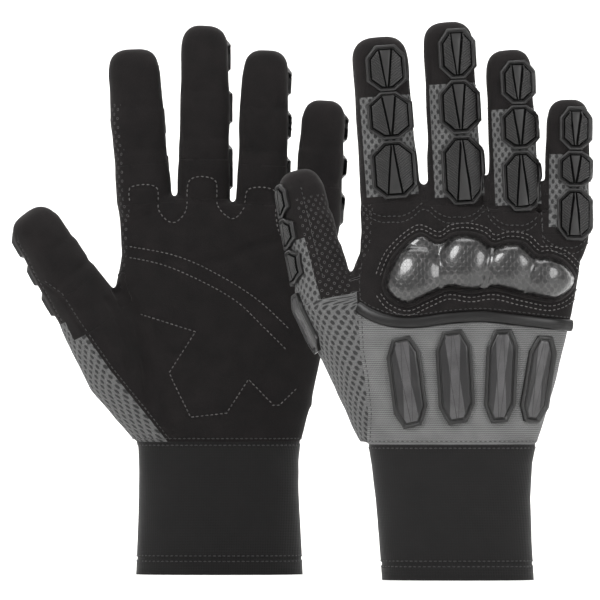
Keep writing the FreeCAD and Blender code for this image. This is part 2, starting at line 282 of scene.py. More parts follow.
def makeSkin(glove):
    bm = bmesh.new()
    form, points, power = fingerForm, skinSizes["ringPoints"], skinSizes["power"]
    ringTube(bm, handStations(glove), 72, 2.5)
    for finger in glove["fingers"].values():
        length = finger["length"]
        if finger["thumb"]:
            stations = thumbStations(glove)
        else:
            stations = [fingerStation(finger, *row) for row in form["buried"]]
        stations += [fingerStation(finger, share * length + form["past"], size) for share,
                     size in form["swell"]]
        stations += [fingerStation(finger, length - below, size) for below, size in form["tip"]]
        ringTube(bm, stations, points, power)
    for x, top, half in glove["spec"]["webs"]:
        stations = []
        for below, share in form["web"]:
            centre = Vector((glove["x"] + x, glove["y"], top - below))
            stations.append(stationMatrix(centre, Vector((1, 0, 0)), Vector((0, 1, 0)), half * share,
                                          form["webDepth"] * share))
        ringTube(bm, stations, points, power)
    bmesh.ops.recalc_face_normals(bm, faces=bm.faces)
    skin = newObject(f"{glove['side']}_skin_form", bm, [])
    remesh = skin.modifiers.new("oneSkin", "REMESH")
    remesh.mode = "VOXEL"
    remesh.voxel_size = skinSizes["voxel"] * mm
    smooth = skin.modifiers.new("soften", "SMOOTH")
    smooth.factor = 0.5
    smooth.iterations = skinSizes["smoothing"]
    applyModifiers(skin)
    return skin


def skinTree(obj):
    mesh = obj.data
    verts = [v.co / mm for v in mesh.vertices]
    return BVHTree.FromPolygons(verts, [tuple(p.vertices) for p in mesh.polygons])


def castTo(glove, start, direction):
    # the skin's point and outward normal that a ray meets, or None
    hit, normal, _, _ = glove["tree"].ray_cast(Vector(start), Vector(direction), 120.0)
    if hit is None:
        return None
    return hit, normal


def onHand(glove, u, z, back=True):
    # u is counted from the hand's middle line towards the little finger
    outward = glove["back"] if back else -glove["back"]
    found = castTo(glove, (middleX(glove, z) + u, glove["y"] + outward * 70, z), (0, -outward, 0))
    return found or (Vector((middleX(glove, z) + u, glove["y"] + outward * 3, z)), Vector((0, outward, 0)))


def onFinger(finger, glove, u, s, back=True):
    # u across the finger, s along it from its root
    outward = finger["nail"] if back else -finger["nail"]
    middle = finger["root"] + finger["along"] * s + finger["across"] * u
    found = castTo(glove, middle + outward * 26, -outward)
    return found or (middle, outward)


def aroundCuff(glove, turn, z):
    direction = Vector((math.cos(turn), math.sin(turn), 0))
    start = Vector((glove["x"], glove["y"], z)) + direction * 80
    found = castTo(glove, start, -direction)
    return found or (start, direction)


# seams and stitches
threadSizes = {"length": 1.6, "gap": 0.8, "radius": 0.26, "sides": 6, "proud": 0.1}


def pressSeam(obj, samples, width, depth):
    # draws the cloth in along a line, as a sewn seam does
    if not samples:
        return
    mesh = obj.data
    co, normals = vertexArray(mesh) / mm, vertexArray(mesh, "normal")
    points = [spot for spot, _ in samples]
    tree = KDTree(len(points))
    for k, p in enumerate(points):
        tree.insert(p, k)
    tree.balance()
    low = np.min([tuple(p) for p in points], axis=0) - width
    high = np.max([tuple(p) for p in points], axis=0) + width
    near = np.nonzero(np.all((co > low) & (co < high), axis=1))[0]
    for k in near:
        distance = tree.find(co[k])[2]
        if distance < width:
            co[k] -= normals[k] * depth * (1 - (distance / width) ** 2) ** 2
    mesh.vertices.foreach_set("co", (co * mm).ravel())
    mesh.update()


def stitchRow(bm, samples):
    # samples: (point, normal) along a line; short rounded threads lie end to end along it
    sizes = threadSizes
    step = sizes["length"] + sizes["gap"]
    positions = [0.0]
    for (a, _), (b, _) in zip(samples, samples[1:]):
        positions.append(positions[-1] + (b - a).length)
    total = positions[-1]
    count = int(total / step)
    k = 0
    for i in range(count):
        middle = (i + 0.5) * total / count
        while k < len(positions) - 2 and positions[k + 1] < middle:
            k += 1
        (a, na), (b, nb) = samples[k], samples[k + 1]
        if (b - a).length < 1e-6:
            continue
        t = (middle - positions[k]) / max(positions[k + 1] - positions[k], 1e-6)
        along = (b - a).normalized()
        normal = (na.lerp(nb, t)).normalized()
        across = normal.cross(along).normalized()
        normal = along.cross(across)
        m = placeMatrix(a.lerp(b, t) + normal * sizes["proud"], along * sizes["length"] / 2,
                        across * sizes["radius"], normal * sizes["radius"])
        bmesh.ops.create_uvsphere(bm, u_segments=sizes["sides"], v_segments=4, radius=1.0,
                                  matrix=m @ Matrix.Rotation(math.pi / 2, 4, "Y"))


def handLine(glove, points, back=True, step=1.2):
    # a smooth line drawn on the hand, laid on the skin
    return [onHand(glove, p.x, p.y, back) for p in smoothLine([(u, z, 0) for u, z in points], step)]


def offsetLine(points, distance):
    # the same flat line, moved sideways
    out = []
    for k, p in enumerate(points):
        a, b = Vector(points[max(k - 1, 0)]), Vector(points[min(k + 1, len(points) - 1)])
        d = (b - a).normalized()
        out.append((p[0] - d.y * distance, p[1] + d.x * distance))
    return out


# moulded plates: armour, pads
def plateOutline(halfWidth, low, high, ends, shoulders):
    # a long hexagon with blunt ends, as (across, along) points; ends and shoulders: shares at low and high
    length = high - low
    return [(-halfWidth * ends[0], low), (halfWidth * ends[0], low), (halfWidth, low + length * shoulders[0]),
            (halfWidth, high - length * shoulders[1]), (halfWidth * ends[1], high),
            (-halfWidth * ends[1], high),
            (-halfWidth, high - length * shoulders[1]), (-halfWidth, low + length * shoulders[0])]


plateForm = {"rise": 0.62, "edgeStep": 0.25, "grooveDepth": 0.9, "grooveFloor": 0.15, "middleStep": 0.35,
             "leastFacet": 0.4, "corner": 0.5, "bevel": 0.12, "longEdge": 2.2, "sunk": 0.8}


def onMiddle(spot, outline, sizes):
    # whether a facet is part of the smooth middle: a wedge, or an hourglass where the sizes have a waist
    if "waist" not in sizes:
        return abs(spot.x) <= sizes["smoothHalf"]
    low, high = outline[0][1], outline[4][1]
    share = abs(spot.y - (low + high) / 2) / ((high - low) / 2)
    return abs(spot.x) <= outline[2][0] * (sizes["waist"] + (sizes["flare"] - sizes["waist"]) * share)


def makePlate(bm, outline, cuts, sizes, lay):
    # rim, groove and faceted middle; lay(u, v) gives the skin's point and normal under the plate
    form = plateForm
    piece = bmesh.new()
    verts = [piece.verts.new((u, v, 0)) for u, v in outline]
    bottom = piece.faces.new(verts)
    out = bmesh.ops.extrude_face_region(piece, geom=[bottom])["geom"]
    top = [g for g in out if isinstance(g, bmesh.types.BMFace)][0]
    bmesh.ops.translate(piece, vec=(0, 0, sizes["height"] * form["rise"]), verts=list(top.verts))
    steps = ((sizes["edge"], form["edgeStep"]), (sizes["rim"], 0.0), (sizes["groove"], -form["grooveDepth"]),
             (form["grooveFloor"], 0.0), (sizes["groove"], form["middleStep"]))
    for thickness, depth in steps:
        bmesh.ops.inset_region(piece, faces=[top], thickness=thickness, depth=depth, use_even_offset=True)
    geom = list(top.verts) + list(top.edges) + [top]
    for (ax, ay), (bx, by) in cuts:
        d = Vector((bx - ax, by - ay, 0)).normalized()
        cut = bmesh.ops.bisect_plane(piece, geom=geom, dist=1e-4, plane_co=(ax, ay, 0),
                                     plane_no=(-d.y, d.x, 0))["geom"]
        geom = [g for g in cut if g.is_valid]
    facets = [g for g in geom if isinstance(g, bmesh.types.BMFace) and g.calc_area() > form["leastFacet"]]
    around = bmesh.ops.inset_individual(piece, faces=facets, thickness=sizes["paintedShadeCrease"],
                                        depth=sizes["facet"])["faces"]
    # the ring round each facet takes material 3, painted shade in the crease
    for f in around:
        f.material_index = 3
    # on the pads, the middle facets (2) are painted light and the side facets (1) painted shade
    for f in facets:
        f.material_index = 2 if onMiddle(f.calc_center_median(), outline, sizes) else 1
    bmesh.ops.recalc_face_normals(piece, faces=piece.faces)
    corners = [e for e in piece.edges if e.calc_length() > 0.3 and e.calc_face_angle(0) > form["corner"]]
    bmesh.ops.bevel(piece, geom=corners, offset=form["bevel"], offset_type="OFFSET", affect="EDGES",
                    segments=1, profile=0.5, material=-1)
    bmesh.ops.triangulate(piece, faces=piece.faces)
    for _ in range(3):
        longEdges = [e for e in piece.edges if e.calc_length() > form["longEdge"]]
        if longEdges:
            bmesh.ops.subdivide_edges(piece, edges=longEdges, cuts=1)
            bmesh.ops.triangulate(piece, faces=[f for f in piece.faces if len(f.verts) > 3])
    uv = piece.loops.layers.uv.new("plateMm")
    for f in piece.faces:
        for loop in f.loops:
            loop[uv].uv = (loop.vert.co.x, loop.vert.co.y)
    for v in piece.verts:
        spot, normal = lay(v.co.x, v.co.y)
        v.co = spot + normal * (v.co.z - (form["sunk"] if v.co.z < 0.01 else 0.0))
    mesh = bpy.data.meshes.new("plate")
    piece.to_mesh(mesh)
    piece.free()
    bm.from_mesh(mesh)
    bpy.data.meshes.remove(mesh)


# cutting the skin into its pieces
def takeFaces(bm, chosen):
    # moves the chosen faces into a bmesh of their own
    keep = set(chosen)
    part = bm.copy()
    part.faces.ensure_lookup_table()
    bm.faces.ensure_lookup_table()
    indices = {f.index for f in keep}
    bmesh.ops.delete(part, geom=[f for f in part.faces if f.index not in indices], context="FACES")
    bmesh.ops.delete(bm, geom=list(keep), context="FACES")
    return part


def cutAcross(bm, faces, point, normal):
    # one straight cut through some faces
    geom = list({v for f in faces for v in f.verts}) + list({e for f in faces for e in f.edges}) + list(faces)
    bmesh.ops.bisect_plane(bm, geom=geom, dist=1e-3, plane_co=point, plane_no=normal)


# where a finger is cut, mm from its root, and how far past its size its faces are looked for
fingerCuts = {"thumb": (-9.0, 12.5), "finger": (-1.0, 19.0)}
fingerRoom = {"across": 2.2, "deep": 4.0}


def cutsOf(finger):
    return fingerCuts["thumb" if finger["thumb"] else "finger"]


def nearFinger(finger, p, s):
    w, d = fingerSize(finger, s)
    aside, deep = abs(p.dot(finger["across"])), abs(p.dot(finger["nail"]))
    return aside < w + fingerRoom["across"] and deep < d + fingerRoom["deep"]


def farAlong(finger, face):
    return (face.calc_center_median() - finger["root"]).dot(finger["along"])


def fingerFaces(bm, finger, low):
    out = []
    for f in bm.faces:
        s = farAlong(finger, f)
        if s > low and nearFinger(finger, f.calc_center_median() - finger["root"], s):
            out.append(f)
    return out


def cutSkin(glove, skin):
    # hand, cuff, and two lengths of each finger, parted where nothing bends
    bm = bmesh.new()
    bm.from_mesh(skin.data)
    bmesh.ops.scale(bm, vec=(1 / mm,) * 3, verts=bm.verts)
    pieces = {}
    for name, finger in glove["fingers"].items():
        start, middle = cutsOf(finger)
        for s in (start, middle):
            near = [f for f in fingerFaces(bm, finger, s - 3) if farAlong(finger, f) < s + 3]
            cutAcross(bm, near, finger["root"] + finger["along"] * s, finger["along"])
        bm.faces.index_update()
        whole = takeFaces(bm, fingerFaces(bm, finger, start))
        upper = [f for f in whole.faces if farAlong(finger, f) > middle]
        whole.faces.index_update()
        pieces[f"{name}_upper"] = takeFaces(whole, upper)
        pieces[f"{name}_lower"] = whole
    cutAcross(bm, list(bm.faces), (0, 0, 0), (0, 0, 1))
    bmesh.ops.delete(bm, geom=[f for f in bm.faces if f.calc_center_median().z < 0.001], context="FACES")
    near = [f for f in bm.faces if abs(f.calc_center_median().z - wristSeam) < 3]
    cutAcross(bm, near, (0, 0, wristSeam), (0, 0, 1))
    bm.faces.index_update()
    pieces["cuff"] = takeFaces(bm, [f for f in bm.faces if f.calc_center_median().z < wristSeam])
    pieces["hand"] = bm
    return pieces


def insidePolygon(x, z, outline):
    inside = np.zeros(len(x), bool)
    count = len(outline)
    for k in range(count):
        (x0, z0), (x1, z1) = outline[k], outline[(k + 1) % count]
        crosses = (z0 > z) != (z1 > z)
        inside ^= crosses & (x < (x1 - x0) * (z - z0) / ((z1 - z0) or 1e-9) + x0)
    return inside


def paintPanel(bm, glove, outline, back, index):
    # cuts the hand's cloth along a panel's outline, drawn as (u, z), and gives the inside a material
    outward = glove["back"] if back else -glove["back"]
    flat = [(middleX(glove, z) + u, z) for u, z in outline]
    count = len(flat)
    for k in range(count):
        a, b = Vector(flat[k]), Vector(flat[(k + 1) % count])
        d = (b - a)
        if d.length < 0.2:
            continue
        length = d.length
        d.normalize()
        near = []
        for f in bm.faces:
            c = f.calc_center_median()
            if (c.y - glove["y"]) * outward < -1.0:
                continue
            q = Vector((c.x, c.z)) - a
            if -1.6 < q.dot(d) < length + 1.6 and abs(q.x * -d.y + q.y * d.x) < 1.8:
                near.append(f)
        if near:
            cutAcross(bm, near, (a.x, 0, a.y), (-d.y, 0, d.x))
    centres = [f.calc_center_median() for f in bm.faces]
    x, z = np.array([c.x for c in centres]), np.array([c.z for c in centres])
    inside = insidePolygon(x, z, flat)
    for f, c, hit in zip(bm.faces, centres, inside):
        if hit and (c.y - glove["y"]) * outward > 0:
            f.material_index = index


# materials: colours as hex, pattern sizes in millimetres of the unbent piece
def addNode(tree, kind, settings=None, inputs=None):
    # an input is given a plain value, or linked to another node or socket
    made = tree.nodes.new(kind)
    for key, value in (settings or {}).items():
        setattr(made, key, value)
    for key, value in (inputs or {}).items():
        if isinstance(value, bpy.types.Node):
            value = value.outputs[0]
        if isinstance(value, bpy.types.NodeSocket):
            tree.links.new(value, made.inputs[key])
        else:
            made.inputs[key].default_value = value
    return made


def newMaterial(name, finish):
    material = bpy.data.materials.new(name)
    material.use_nodes = True
    shader = material.node_tree.nodes["Principled BSDF"]
    for key, value in finish.items():
        shader.inputs[key].default_value = value
    return material, material.node_tree, shader


def staggeredDots(tree, place, pitch, stretch, radius, soft):
    # 1 inside the dots of a grid whose rows are staggered, 0 between them
    squeezed = addNode(tree, "ShaderNodeMapping",
                       inputs={"Vector": place, "Scale": (stretch[0], stretch[1], 0)})
    turned = addNode(tree, "ShaderNodeMapping", inputs={"Vector": squeezed, "Rotation": (0, 0, math.pi / 4)})
    cells = addNode(tree, "ShaderNodeTexVoronoi", {"voronoi_dimensions": "2D"},
                    {"Vector": turned, "Scale": 1 / pitch, "Randomness": 0.0})
    dots = addNode(tree, "ShaderNodeMapRange", {},
                   {"Value": cells, "From Min": radius, "From Max": radius + soft, "To Min": 1.0,
                    "To Max": 0.0})
    return cells, dots


# microfibre suede: a short matt nap with soft light and dark patches where it has been brushed
suedeLook = {"dark": "070606", "light": "171414", "nap": 0.45, "patch": 9.0, "sheen": "8C8786"}
# the rim colour is a painted highlight: a lighter ring round each punched hole
punchLook = {"pitch": 3.2, "radius": 0.12, "soft": 0.05, "rim": "4E4C4C", "rimHighlightOut": 0.19}


def suede(name, look=suedeLook, holes=None):
    material, tree, shader = newMaterial(name, {
        "Roughness": 0.93, "Specular IOR Level": 0.2, "Sheen Weight": 0.12, "Sheen Roughness": 0.5,
        "Sheen Tint": hexColor(look["sheen"])})
    place = addNode(tree, "ShaderNodeAttribute", {"attribute_name": "restPlace"}).outputs["Vector"]
    nap = addNode(tree, "ShaderNodeTexNoise", {}, {"Vector": place, "Scale": 1 / look["nap"], "Detail": 3.0})
    patch = addNode(tree, "ShaderNodeTexNoise", {},
                    {"Vector": place, "Scale": 1 / look["patch"], "Detail": 5.0})
    both = addNode(tree, "ShaderNodeMix", {}, {0: 0.4, 2: nap, 3: patch})
    shade = addNode(tree, "ShaderNodeMapRange", {}, {"Value": both, "From Min": 0.34, "From Max": 0.68})
    color = addNode(tree, "ShaderNodeMix", {"data_type": "RGBA"},
                    {0: shade, 6: hexColor(look["dark"]), 7: hexColor(look["light"])}).outputs[2]
    bump = addNode(tree, "ShaderNodeBump", {}, {"Height": patch, "Strength": 0.4, "Distance": 0.6 * mm})
    bump = addNode(tree, "ShaderNodeBump", {},
                   {"Height": nap, "Strength": 0.6, "Distance": 0.18 * mm, "Normal": bump})
    if holes:
        flat = addNode(tree, "ShaderNodeAttribute", {"attribute_name": "wrapPlace"}).outputs["Vector"]
        _, hole = staggeredDots(tree, flat, holes["pitch"], (1, 1), holes["radius"], holes["soft"])
        # painted highlight: the lighter ring round each hole
        _, around = staggeredDots(tree, flat, holes["pitch"], (1, 1), holes["rimHighlightOut"], holes["soft"])
        color = addNode(tree, "ShaderNodeMix", {"data_type": "RGBA"},
                        {0: around, 6: color, 7: hexColor(holes["rim"])}).outputs[2]
        # painted shade: the holes are filled near black
        color = addNode(tree, "ShaderNodeMix", {"data_type": "RGBA"},
                        {0: hole, 6: color, 7: hexColor("020202")}).outputs[2]
        bump = addNode(tree, "ShaderNodeBump", {"invert": True},
                       {"Height": hole, "Strength": 0.9, "Distance": 0.6 * mm, "Normal": bump})
    tree.links.new(color, shader.inputs["Base Color"])
    tree.links.new(bump.outputs[0], shader.inputs["Normal"])
    return material


# fine knits and weaves: crossed bands of yarn; a wave texture of scale 0.314 has its bands one unit apart
waveBand = 0.314
knitLooks = {
    "neoprene": {"column": 1.1, "course": 0.8, "dark": "050505", "middle": "0C0B0B", "light": "141313",
                 "depth": 0.16},
    "ribWeave": {"column": 0.8, "course": 1.05, "dark": "343434", "middle": "5A5A5A", "light": "6E6E6E",
                 "depth": 0.3},
}


def knit(name, look):
    material, tree, shader = newMaterial(name,
                                         {"Roughness": 0.88, "Specular IOR Level": 0.22,
                                          "Sheen Weight": 0.12})
    place = addNode(tree, "ShaderNodeAttribute", {"attribute_name": "wrapPlace"}).outputs["Vector"]
    column = addNode(tree, "ShaderNodeTexWave", {"bands_direction": "X"},
                     {"Vector": place, "Scale": waveBand / look["column"], "Distortion": 0.5}).outputs["Fac"]
    course = addNode(tree, "ShaderNodeTexWave", {"bands_direction": "Y"},
                     {"Vector": place, "Scale": waveBand / look["course"], "Distortion": 0.5}).outputs["Fac"]
    yarn = addNode(tree, "ShaderNodeMix", {}, {0: 0.65, 2: column, 3: course})
    cloud = addNode(tree, "ShaderNodeTexNoise", {}, {"Vector": place, "Scale": 1 / 12, "Detail": 4.0})
    both = addNode(tree, "ShaderNodeMix", {}, {0: 0.4, 2: yarn, 3: cloud})
    low = addNode(tree, "ShaderNodeMapRange", {}, {"Value": both, "From Min": 0.15, "From Max": 0.5})
    high = addNode(tree, "ShaderNodeMapRange", {}, {"Value": both, "From Min": 0.5, "From Max": 0.85})
    color = addNode(tree, "ShaderNodeMix", {"data_type": "RGBA"},
                    {0: low, 6: hexColor(look["dark"]), 7: hexColor(look["middle"])}).outputs[2]
    color = addNode(tree, "ShaderNodeMix", {"data_type": "RGBA"},
                    {0: high, 6: color, 7: hexColor(look["light"])})
    tree.links.new(color.outputs[2], shader.inputs["Base Color"])
    bump = addNode(tree, "ShaderNodeBump", {}, {"Height": cloud, "Strength": 0.3, "Distance": 0.7 * mm})
    bump = addNode(tree, "ShaderNodeBump", {},
                   {"Height": yarn, "Strength": 0.7, "Distance": look["depth"] * mm, "Normal": bump})
    tree.links.new(bump.outputs[0], shader.inputs["Normal"])
    return material


# spacer mesh: grey knit with a staggered grid of oval holes that show the dark lining
meshLook = {"pitch": 3.0, "stretch": (1.15, 0.85), "radius": 0.25, "soft": 0.13, "yarn": "5A5A5A",
            "shadow": "4A4A4A",
            "lining": "2A2A2A"}


def spacerMesh(name, look=meshLook):
    material, tree, shader = newMaterial(name,
                                         {"Roughness": 0.88, "Specular IOR Level": 0.22, "Sheen Weight": 0.1})
    place = addNode(tree, "ShaderNodeAttribute", {"attribute_name": "wrapPlace"}).outputs["Vector"]
    _, hole = staggeredDots(tree, place, look["pitch"], look["stretch"], look["radius"], look["soft"])
    yarn = addNode(tree, "ShaderNodeTexNoise", {}, {"Vector": place, "Scale": 1 / 0.7, "Detail": 2.0})
    shade = addNode(tree, "ShaderNodeMapRange", {}, {"Value": yarn, "From Min": 0.35, "From Max": 0.65})
    cloth = addNode(tree, "ShaderNodeMix", {"data_type": "RGBA"},
                    {0: shade, 6: hexColor(look["shadow"]), 7: hexColor(look["yarn"])}).outputs[2]
    color = addNode(tree, "ShaderNodeMix", {"data_type": "RGBA"},
                    {0: hole, 6: cloth, 7: hexColor(look["lining"])})
    tree.links.new(color.outputs[2], shader.inputs["Base Color"])
    bump = addNode(tree, "ShaderNodeBump", {}, {"Height": yarn, "Strength": 0.4, "Distance": 0.15 * mm})
    bump = addNode(tree, "ShaderNodeBump", {"invert": True},
                   {"Height": hole, "Strength": 0.9, "Distance": 0.8 * mm, "Normal": bump})
    tree.links.new(bump.outputs[0], shader.inputs["Normal"])
    return material


# moulded thermoplastic rubber: dark, satin, slightly dusty, with ribs on the sloping facets
rubberLooks = {
    "armour": {"dark": "0D0C0C", "light": "181717", "gloss": 0.46, "rib": None},
    "ribbedArmour": {"dark": "121111", "light": "252323", "gloss": 0.5, "rib": 1.35},
    # the crease rubber is painted shade: near black, with almost no shine, on the rings round the armour's facets
    "paintedShadeCrease": {"dark": "010101", "light": "030303", "gloss": 0.8, "rib": None, "shine": 0.05},
    "piping": {"dark": "070606", "light": "100F0F", "gloss": 0.38, "rib": None, "shine": 0.3},
    "padRim": {"dark": "0C0C0C", "light": "161515", "gloss": 0.36, "rib": None},
    # the pads' side and top rubbers are one rubber in two tones: painted shade on the side facets and creases,
    # painted light on the middle hourglass
    "padPaintedShadeSide": {"dark": "100F10", "light": "1A191A", "gloss": 0.36, "rib": None},
    "padPaintedLightTop": {"dark": "323132", "light": "464546", "gloss": 0.3, "rib": None},
}


def mouldedRubber(name, look):
    material, tree, shader = newMaterial(name,
                                         {"Roughness": look["gloss"],
                                          "Specular IOR Level": look.get("shine", 0.4)})
    place = addNode(tree, "ShaderNodeAttribute", {"attribute_name": "restPlace"}).outputs["Vector"]
    grain = addNode(tree, "ShaderNodeTexNoise", {}, {"Vector": place, "Scale": 1 / 0.5, "Detail": 3.0})
    cloud = addNode(tree, "ShaderNodeTexNoise", {}, {"Vector": place, "Scale": 1 / 7, "Detail": 3.0})
    both = addNode(tree, "ShaderNodeMix", {}, {0: 0.65, 2: grain, 3: cloud})
    shade = addNode(tree, "ShaderNodeMapRange", {}, {"Value": both, "From Min": 0.32, "From Max": 0.7})
    color = addNode(tree, "ShaderNodeMix", {"data_type": "RGBA"},
                    {0: shade, 6: hexColor(look["dark"]), 7: hexColor(look["light"])}).outputs[2]
    bump = addNode(tree, "ShaderNodeBump", {}, {"Height": grain, "Strength": 0.25, "Distance": 0.05 * mm})
    if look["rib"]:
        # ribs lean down and outwards from the plate's middle line
        flat = addNode(tree, "ShaderNodeUVMap", {"uv_map": "plateMm"})
        split = addNode(tree, "ShaderNodeSeparateXYZ", {}, {"Vector": flat})
        away = addNode(tree, "ShaderNodeMath", {"operation": "ABSOLUTE"}, {0: split.outputs["X"]})
        slant = addNode(tree, "ShaderNodeMath", {"operation": "MULTIPLY_ADD"},
                        {0: away, 1: -0.8, 2: split.outputs["Y"]})
        turn = addNode(tree, "ShaderNodeMath", {"operation": "MULTIPLY"},
                       {0: slant, 1: math.tau / look["rib"]})
        wave = addNode(tree, "ShaderNodeMath", {"operation": "SINE"}, {0: turn})
        raised = addNode(tree, "ShaderNodeMapRange", {}, {"Value": wave, "From Min": -0.6, "From Max": 0.6})
        # painted shade: the valleys between the ribs are painted near black
        color = addNode(tree, "ShaderNodeMix", {"data_type": "RGBA"},
                        {0: raised, 6: hexColor("030303"), 7: color}).outputs[2]
        bump = addNode(tree, "ShaderNodeBump", {},
                       {"Height": raised, "Strength": 1.0, "Distance": 0.3 * mm, "Normal": bump})
    tree.links.new(color, shader.inputs["Base Color"])
    tree.links.new(bump.outputs[0], shader.inputs["Normal"])
    return material


# hard shell: an open basket weave of dark cells and grey strands under a clear coat
guardLook = {"cell": 2.5, "strand": "2C2A2A", "shade": "0A0909", "dark": "040404", "radius": 0.34,
             "soft": 0.1}


def coatedWeave(look=guardLook):
    material, tree, shader = newMaterial("clearCoatedWeaveShell", {
        "Roughness": 0.32, "Specular IOR Level": 0.5, "Coat Weight": 0.6, "Coat Roughness": 0.1})
    place = addNode(tree, "ShaderNodeAttribute", {"attribute_name": "restPlace"}).outputs["Vector"]
    flat = addNode(tree, "ShaderNodeMapping", {},
                   {"Vector": place, "Rotation": (math.pi / 2, 0, 0)}).outputs[0]
    _, cell = staggeredDots(tree, flat, look["cell"], (1.0, 0.85), look["radius"], look["soft"])
    tone = addNode(tree, "ShaderNodeTexNoise", {}, {"Vector": place, "Scale": 1 / 7, "Detail": 2.0})
    brick = addNode(tree, "ShaderNodeTexNoise", {}, {"Vector": place, "Scale": 1 / 1.4, "Detail": 0.0})
    both = addNode(tree, "ShaderNodeMix", {}, {0: 0.4, 2: tone, 3: brick})
    shade = addNode(tree, "ShaderNodeMapRange", {}, {"Value": both, "From Min": 0.4, "From Max": 0.62})
    strand = addNode(tree, "ShaderNodeMix", {"data_type": "RGBA"},
                     {0: shade, 6: hexColor(look["shade"]), 7: hexColor(look["strand"])}).outputs[2]
    color = addNode(tree, "ShaderNodeMix", {"data_type": "RGBA"},
                    {0: cell, 6: strand, 7: hexColor(look["dark"])})
    tree.links.new(color.outputs[2], shader.inputs["Base Color"])
    bump = addNode(tree, "ShaderNodeBump", {"invert": True},
                   {"Height": cell, "Strength": 0.35, "Distance": 0.25 * mm})
    tree.links.new(bump.outputs[0], shader.inputs["Normal"])
    return material


# spun polyester thread: a dull grey twist
threadLooks = {"paleGreyThread": {"dark": "383636", "light": "615E5D"},
               "darkGreyThread": {"dark": "121111", "light": "2A2828"}}


def thread(name, look):
    material, tree, shader = newMaterial(name, {"Roughness": 0.75, "Sheen Weight": 0.15})
    place = addNode(tree, "ShaderNodeAttribute", {"attribute_name": "restPlace"}).outputs["Vector"]
    twist = addNode(tree, "ShaderNodeTexNoise", {}, {"Vector": place, "Scale": 1 / 0.6, "Detail": 1.0})
    shade = addNode(tree, "ShaderNodeMapRange", {}, {"Value": twist, "From Min": 0.35, "From Max": 0.65})
    color = addNode(tree, "ShaderNodeMix", {"data_type": "RGBA"},
                    {0: shade, 6: hexColor(look["dark"]), 7: hexColor(look["light"])})
    tree.links.new(color.outputs[2], shader.inputs["Base Color"])
    bump = addNode(tree, "ShaderNodeBump", {}, {"Height": twist, "Strength": 0.4, "Distance": 0.08 * mm})
    tree.links.new(bump.outputs[0], shader.inputs["Normal"])
    return material


# soft shape: folds, creases and puckers in the cloth
foldSizes = {"long": 26.0, "longDepth": 0.75, "short": 8.0, "shortDepth": 0.28, "cuffShare": 0.35,
             "seed": {"left": 11.0, "right": 47.0}}
# palm creases: three at the thumb's root and one under the fingers, each as (u, z) points, width and depth
palmFolds = ((((-54, 143), (-45, 134), (-39, 119), (-37, 102), (-35, 86)), 5.0, 1.9),
             (((-58, 138), (-50, 120), (-46, 104)), 4.0, 1.2),
             (((-52, 136), (-38, 127), (-24, 112)), 4.0, 0.8),
             (((-52, 163), (-30, 158), (-8, 158), (18, 166), (44, 176)), 5.0, 0.7))


def foldCloth(glove, skin):
    mesh = skin.data
    co, normals = vertexArray(mesh) / mm, vertexArray(mesh, "normal")
    f = foldSizes
    seed = f["seed"][glove["side"]]
    for k in range(len(co)):
        x, y, z = co[k]
        calm = f["cuffShare"] if z < wristSeam else 1.0
        a = noise.noise((x / f["long"], y / f["long"], z / f["long"] * 0.8 + seed))
        b = noise.noise((x / f["short"] * 0.7, y / f["short"], z / f["short"] + seed))
        co[k] += normals[k] * calm * (f["longDepth"] * a + f["shortDepth"] * b)
    mesh.vertices.foreach_set("co", (co * mm).ravel())
    mesh.update()


def fingerRing(finger, glove, s):
    # a line across the finger's palm side at s
    w, _ = fingerSize(finger, s)
    return [onFinger(finger, glove, w * (k / 8 - 1), s, False) for k in range(1, 16)]


# seam lines, (u, z) from the hand's middle line
meshEdgeBack = ((-56, 152), (-55.4, 145.5), (-53, 131), (-50.4, 113.5), (-47, 101), (-43.4, 82.5),
                (-42.6, 67))
meshEdgePalm = ((-92, 147), (-82.7, 140.5), (-74.8, 128.5), (-56.5, 103.5), (-35.6, 78.5), (-26.2, 67))
pipingLine = ((-53, 132.5), (-46, 128.5), (-36.5, 125.6), (-24.5, 125), (-8.5, 127), (7.5, 128), (23, 126.6),
              (39, 124.8), (52.5, 123.4))
palmArcs = (((-49, 165.5), (-26, 161), (-6, 152.5), (15.5, 139.5), (33, 124)),
            ((-49, 160), (-31, 156), (-11, 147.5), (6.5, 137.5), (20, 125), (32, 113.5)))
heelPatch = ((-42.5, 131.5), (-14, 122.5), (-26.5, 102), (-24.5, 97.5), (-15, 79.5), (3, 81.5), (13.5, 98.5),
             (26.5, 85.5), (29.5, 85.5), (38, 94))
baseTabs = ((-49.5, 188), (-49, 195.5), (-36.5, 195.5), (-34.5, 183.5), (-27.5, 177.5), (-21, 183.5),
            (-19.5, 199),
            (-7, 199), (-5, 186), (2.5, 179.5), (8, 184.5), (10.5, 194.5), (23.5, 193.5), (24.5, 181),
            (27, 171.5),
            (33, 168.5), (37.5, 172), (38, 181), (51, 181), (52.5, 170))
knuckleScallops = {"drop": 9.0, "rise": 3.0}
weaveTop = pipingLine + ((75, 122),)
punchedEdge = {"left": ((-49, 192), (-50, 165), (-52, 144)), "right": ((-51, 192), (-50.5, 165), (-56, 144))}


def ringLine(glove, z, count=220):
    return [aroundCuff(glove, math.tau * k / count, z) for k in range(count + 1)]


def sideLine(glove, outward, low, high, step=1.5):
    # up the edge of the glove, where palm and back are joined
    out = []
    count = int((high - low) / step)
    for k in range(count + 1):
        z = low + (high - low) * k / count
        found = castTo(glove, (glove["x"] + outward * 110, glove["y"], z), (-outward, 0, 0))
        if found:
            out.append(found)
    return out


def sharpLine(points, step=1.2):
    # straight runs between given points
    out = []
    for a, b in zip(points, points[1:]):
        a, b = Vector(a), Vector(b)
        count = max(1, int((b - a).length / step))
        out += [tuple(a.lerp(b, k / count)) for k in range(count)]
    return out + [tuple(points[-1])]


